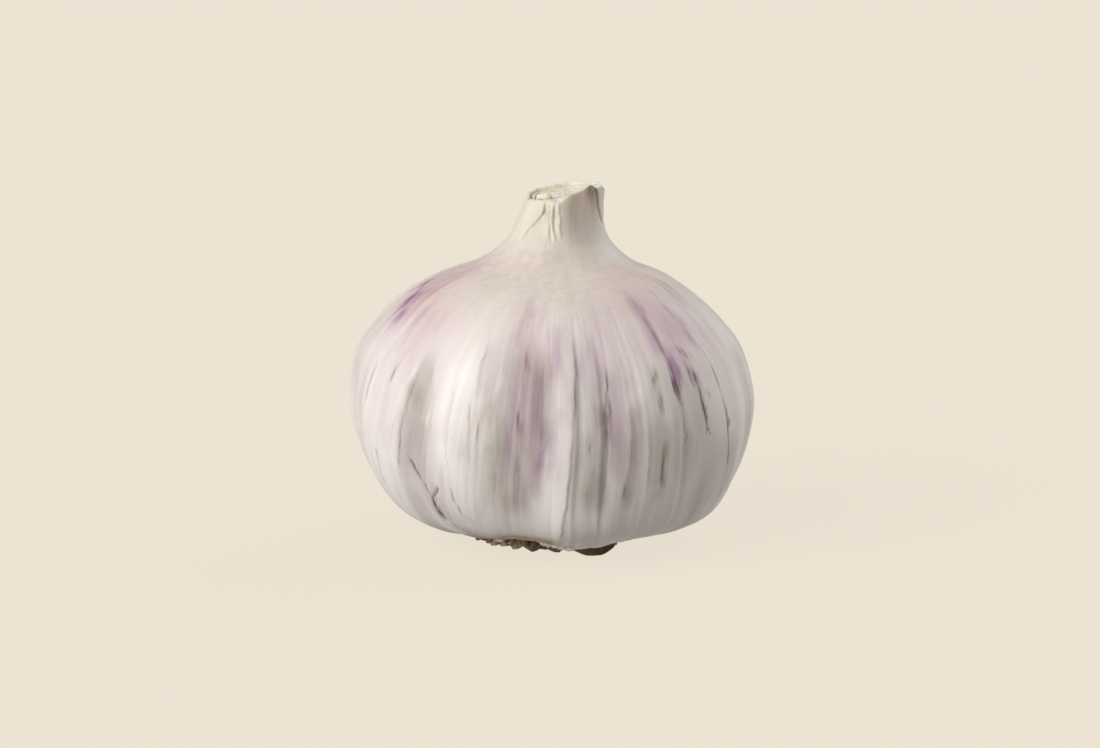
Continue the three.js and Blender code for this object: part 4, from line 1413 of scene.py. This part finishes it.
# %% Leaf sheath and stalk
def dry_leaf(name, light, dark, grain):
    """A matte plant fibre: two colours mixed by noise that is drawn out upwards, with a fine bump."""
    material, tree = new_material(name)
    place = add(tree, "TexCoord").outputs["Object"]
    upright = add(tree, "Mapping", {"Vector": place, "Scale": (1, 1, 0.25)}).outputs[0]
    noise = add(tree, "TexNoise", {"Vector": upright, "Scale": 1 / grain, "Detail": 4.0}).outputs["Fac"]
    ends = {"Value": noise, "From Min": 0.35, "From Max": 0.65}
    share = add(tree, "MapRange", ends, interpolation_type="SMOOTHSTEP").outputs[0]
    tone = add(tree, "Mix", {0: share, 6: colour(light), 7: colour(dark)}, data_type="RGBA").outputs[2]
    bump = add(tree, "Bump", {"Height": noise, "Strength": 0.25, "Distance": 0.1 * MM}).outputs[0]
    shader = add(
        tree,
        "BsdfPrincipled",
        {
            "Base Color": tone,
            "Roughness": 0.7,
            "Normal": bump,
            "IOR": 1.45,
            "Subsurface Weight": 0.1,
            "Subsurface Scale": 1 * MM,
        },
    )
    add(tree, "OutputMaterial", {"Surface": shader.outputs[0]})
    return material


cover(dry_leaf("dry leaf sheath", "#e6dfd1", "#d3ccb8", 1.3 * MM), sheaths, tissue)
cover(dry_leaf("rolled inner leaf", "#efe7d2", "#e0d3b4", 0.6 * MM), leaf_stub)
cover(dry_leaf("torn papery skin", "#d8cdc5", "#c0b3a6", 0.7 * MM), fibres, flakes)
cover(dry_leaf("cut straw-like stalk", "#e6dcbf", "#bfb28a", 0.5 * MM), stalk)

# %% [markdown]
# ### Root and cork
# Dried roots are light brown, with earth left on them. Each stub has its own tone, and the plate is dark.

# %% Root and cork
EARTH_SIZE = 0.6 * MM


def dry_root():
    """The material of the roots and their plate: each root's tone, darkened by earth in a noise."""
    material, tree = new_material("dried root and cork")
    place = add(tree, "TexCoord").outputs["Object"]
    noise = add(tree, "TexNoise", {"Vector": place, "Scale": 1 / EARTH_SIZE, "Detail": 5.0}).outputs["Fac"]
    tone = add(tree, "Attribute", attribute_name="tone").outputs["Fac"]
    ends = {"Value": noise, "From Min": 0.42, "From Max": 0.66, "To Min": 0.0, "To Max": 0.75}
    earth = add(tree, "MapRange", ends, interpolation_type="SMOOTHSTEP").outputs[0]
    paint = colour("#644b2e")
    for factor, other in ((tone, "#cdb78e"), (earth, "#453421")):
        paint = add(tree, "Mix", {0: factor, 6: paint, 7: colour(other)}, data_type="RGBA").outputs[2]
    bump = add(tree, "Bump", {"Height": noise, "Strength": 0.6, "Distance": 0.25 * MM}).outputs[0]
    surface = {"Base Color": paint, "Roughness": 0.85, "Normal": bump, "IOR": 1.45}
    shader = add(tree, "BsdfPrincipled", surface)
    add(tree, "OutputMaterial", {"Surface": shader.outputs[0]})
    return material


cover(dry_root(), plate, roots)

# %% [markdown]
# ## Directions
# Lights and the camera are set by an azimuth and an elevation, and look back along that direction.


# %% Directions
def direction(azimuth, elevation):
    """A unit vector from the head towards an azimuth and elevation in degrees."""
    a, e = math.radians(azimuth), math.radians(elevation)
    return np.array([math.sin(a) * math.cos(e), -math.cos(a) * math.cos(e), math.sin(e)])


def aimed(name, data, azimuth, elevation):
    """An object of a light or a camera in the scene, which looks back from a direction, with Y kept up."""
    made = bpy.data.objects.new(name, data)
    made.rotation_euler = Vector(-direction(azimuth, elevation)).to_track_quat("-Z", "Y").to_euler()
    bpy.context.scene.collection.objects.link(made)
    return made


# %% [markdown]
# ## Floor
# The floor is one wide plain surface of matte pale beige, whose far edge lies above the top of the frame.
# It glows by itself, so that it looks evenly bright right up to that edge.

# %% Floor
FLOOR_RADIUS = 4.0  # in metres
FLOOR_POINTS = 96
FLOOR_GLOW = 0.895

angle = np.linspace(0, 2 * math.pi, FLOOR_POINTS, endpoint=False)
floor_ring = np.stack([np.cos(angle), np.sin(angle), 0 * angle], -1) * FLOOR_RADIUS / MM
edge = np.arange(FLOOR_POINTS)
floor_fan = np.stack([np.full(FLOOR_POINTS, FLOOR_POINTS), edge, (edge + 1) % FLOOR_POINTS], -1)
floor = build_mesh("floor", np.vstack([floor_ring, [(0, 0, 0)]]), [], floor_fan)

floor.visible_diffuse = False  # a bright floor would light the underside of the head
material, tree = new_material("matte pale board")
board = {
    "Base Color": colour("#4a4741"),
    "Roughness": 0.9,
    "Specular IOR Level": 0.0,
    "Emission Color": colour("#efe6d6"),
    "Emission Strength": FLOOR_GLOW,
}
shader = add(tree, "BsdfPrincipled", board)
add(tree, "OutputMaterial", {"Surface": shader.outputs[0]})
cover(material, floor)

# %% [markdown]
# ## Light
# A soft key light comes from the upper left, a weaker one from behind at the right, and the even light of a
# pale room fills the shadows. The camera sees the room as a plain wall.

# %% Light
LIGHTS = {
    # azimuth, elevation and spread in degrees, and strength
    "key": (-54, 26, 45, 2.6),
    "back light": (118, 28, 50, 1.0),
}
SKY_STRENGTH = 0.44
GROUND_STRENGTH = 0.26
HORIZON = 0.35  # the room's light changes from ground to sky between minus and plus this height

world = bpy.data.worlds.new("pale room")
bpy.context.scene.world = world
world.use_nodes = True
tree = world.node_tree
tree.nodes.clear()
place = add(tree, "TexCoord").outputs["Generated"]
up = add(tree, "SeparateXYZ", {0: place}).outputs["Z"]
levels = {"To Min": GROUND_STRENGTH, "To Max": SKY_STRENGTH}
ends = {"Value": up, "From Min": -HORIZON, "From Max": HORIZON, **levels}
glow = add(tree, "MapRange", ends, interpolation_type="SMOOTHSTEP").outputs[0]
room = add(tree, "Background", {"Color": colour("#fbfaf8"), "Strength": glow}).outputs[0]
wall = add(tree, "Background", {"Color": colour("#ece4d5"), "Strength": 1.0}).outputs[0]
seen = add(tree, "LightPath").outputs["Is Camera Ray"]
both = add(tree, "MixShader", {0: seen, 1: room, 2: wall}).outputs[0]
add(tree, "OutputWorld", {"Surface": both})

for name, (azimuth, elevation, spread, strength) in LIGHTS.items():
    light = bpy.data.lights.new(name, "SUN")
    light.energy = strength
    light.angle = math.radians(spread)
    aimed(name, light, azimuth, elevation)
print("lights:", ", ".join(LIGHTS))

# %% [markdown]
# ## Camera
# A long lens looks at the head from the front, from a little above it.

# %% Camera
TARGET = (0.0, 0.0, 26.0)
AIM_SHIFT = (-0.22, 0.0, -1.2)  # puts the target a little above the middle of the frame
CAMERA_ELEVATION = 10
CAMERA_DISTANCE = 455.0
CAMERA_LENS = 100
SENSOR_WIDTH = 36
CLIP_START, CLIP_END = 0.01, 20  # in metres

camera = bpy.data.cameras.new("camera")
camera.lens = CAMERA_LENS
camera.sensor_width = SENSOR_WIDTH
camera.clip_start = CLIP_START
camera.clip_end = CLIP_END
camera_object = aimed("camera", camera, 0, CAMERA_ELEVATION)
camera_place = np.array(TARGET) + AIM_SHIFT + CAMERA_DISTANCE * direction(0, CAMERA_ELEVATION)
camera_object.location = camera_place * MM
bpy.context.scene.camera = camera_object
bpy.context.scene.view_settings.view_transform = "Standard"
print(f"the frame is {CAMERA_DISTANCE * SENSOR_WIDTH / CAMERA_LENS:.0f} mm wide at the head")

# %% [markdown]
# ## What each piece stands for
# Every piece rides on the one body of the frame, and each that stands for a plain solid of the frame hides
# it.

# %% What each piece stands for
for piece, node, slot in (
    (skin, "wrapped_head", "papery_skin"),
    (flakes, None, "papery_skin"),
    (fibres, None, "papery_skin"),
    (sheaths, "inner_leaf_sheaths", "leaf_sheath"),
    (tissue, None, "leaf_sheath"),
    (leaf_stub, None, "leaf_sheath"),
    (stalk, "stalk_end", "dried_stalk"),
    (plate, "root_plate", "dried_root"),
    (roots, None, "dried_root"),
):
    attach(piece, "root")
    if node:
        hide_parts(node)
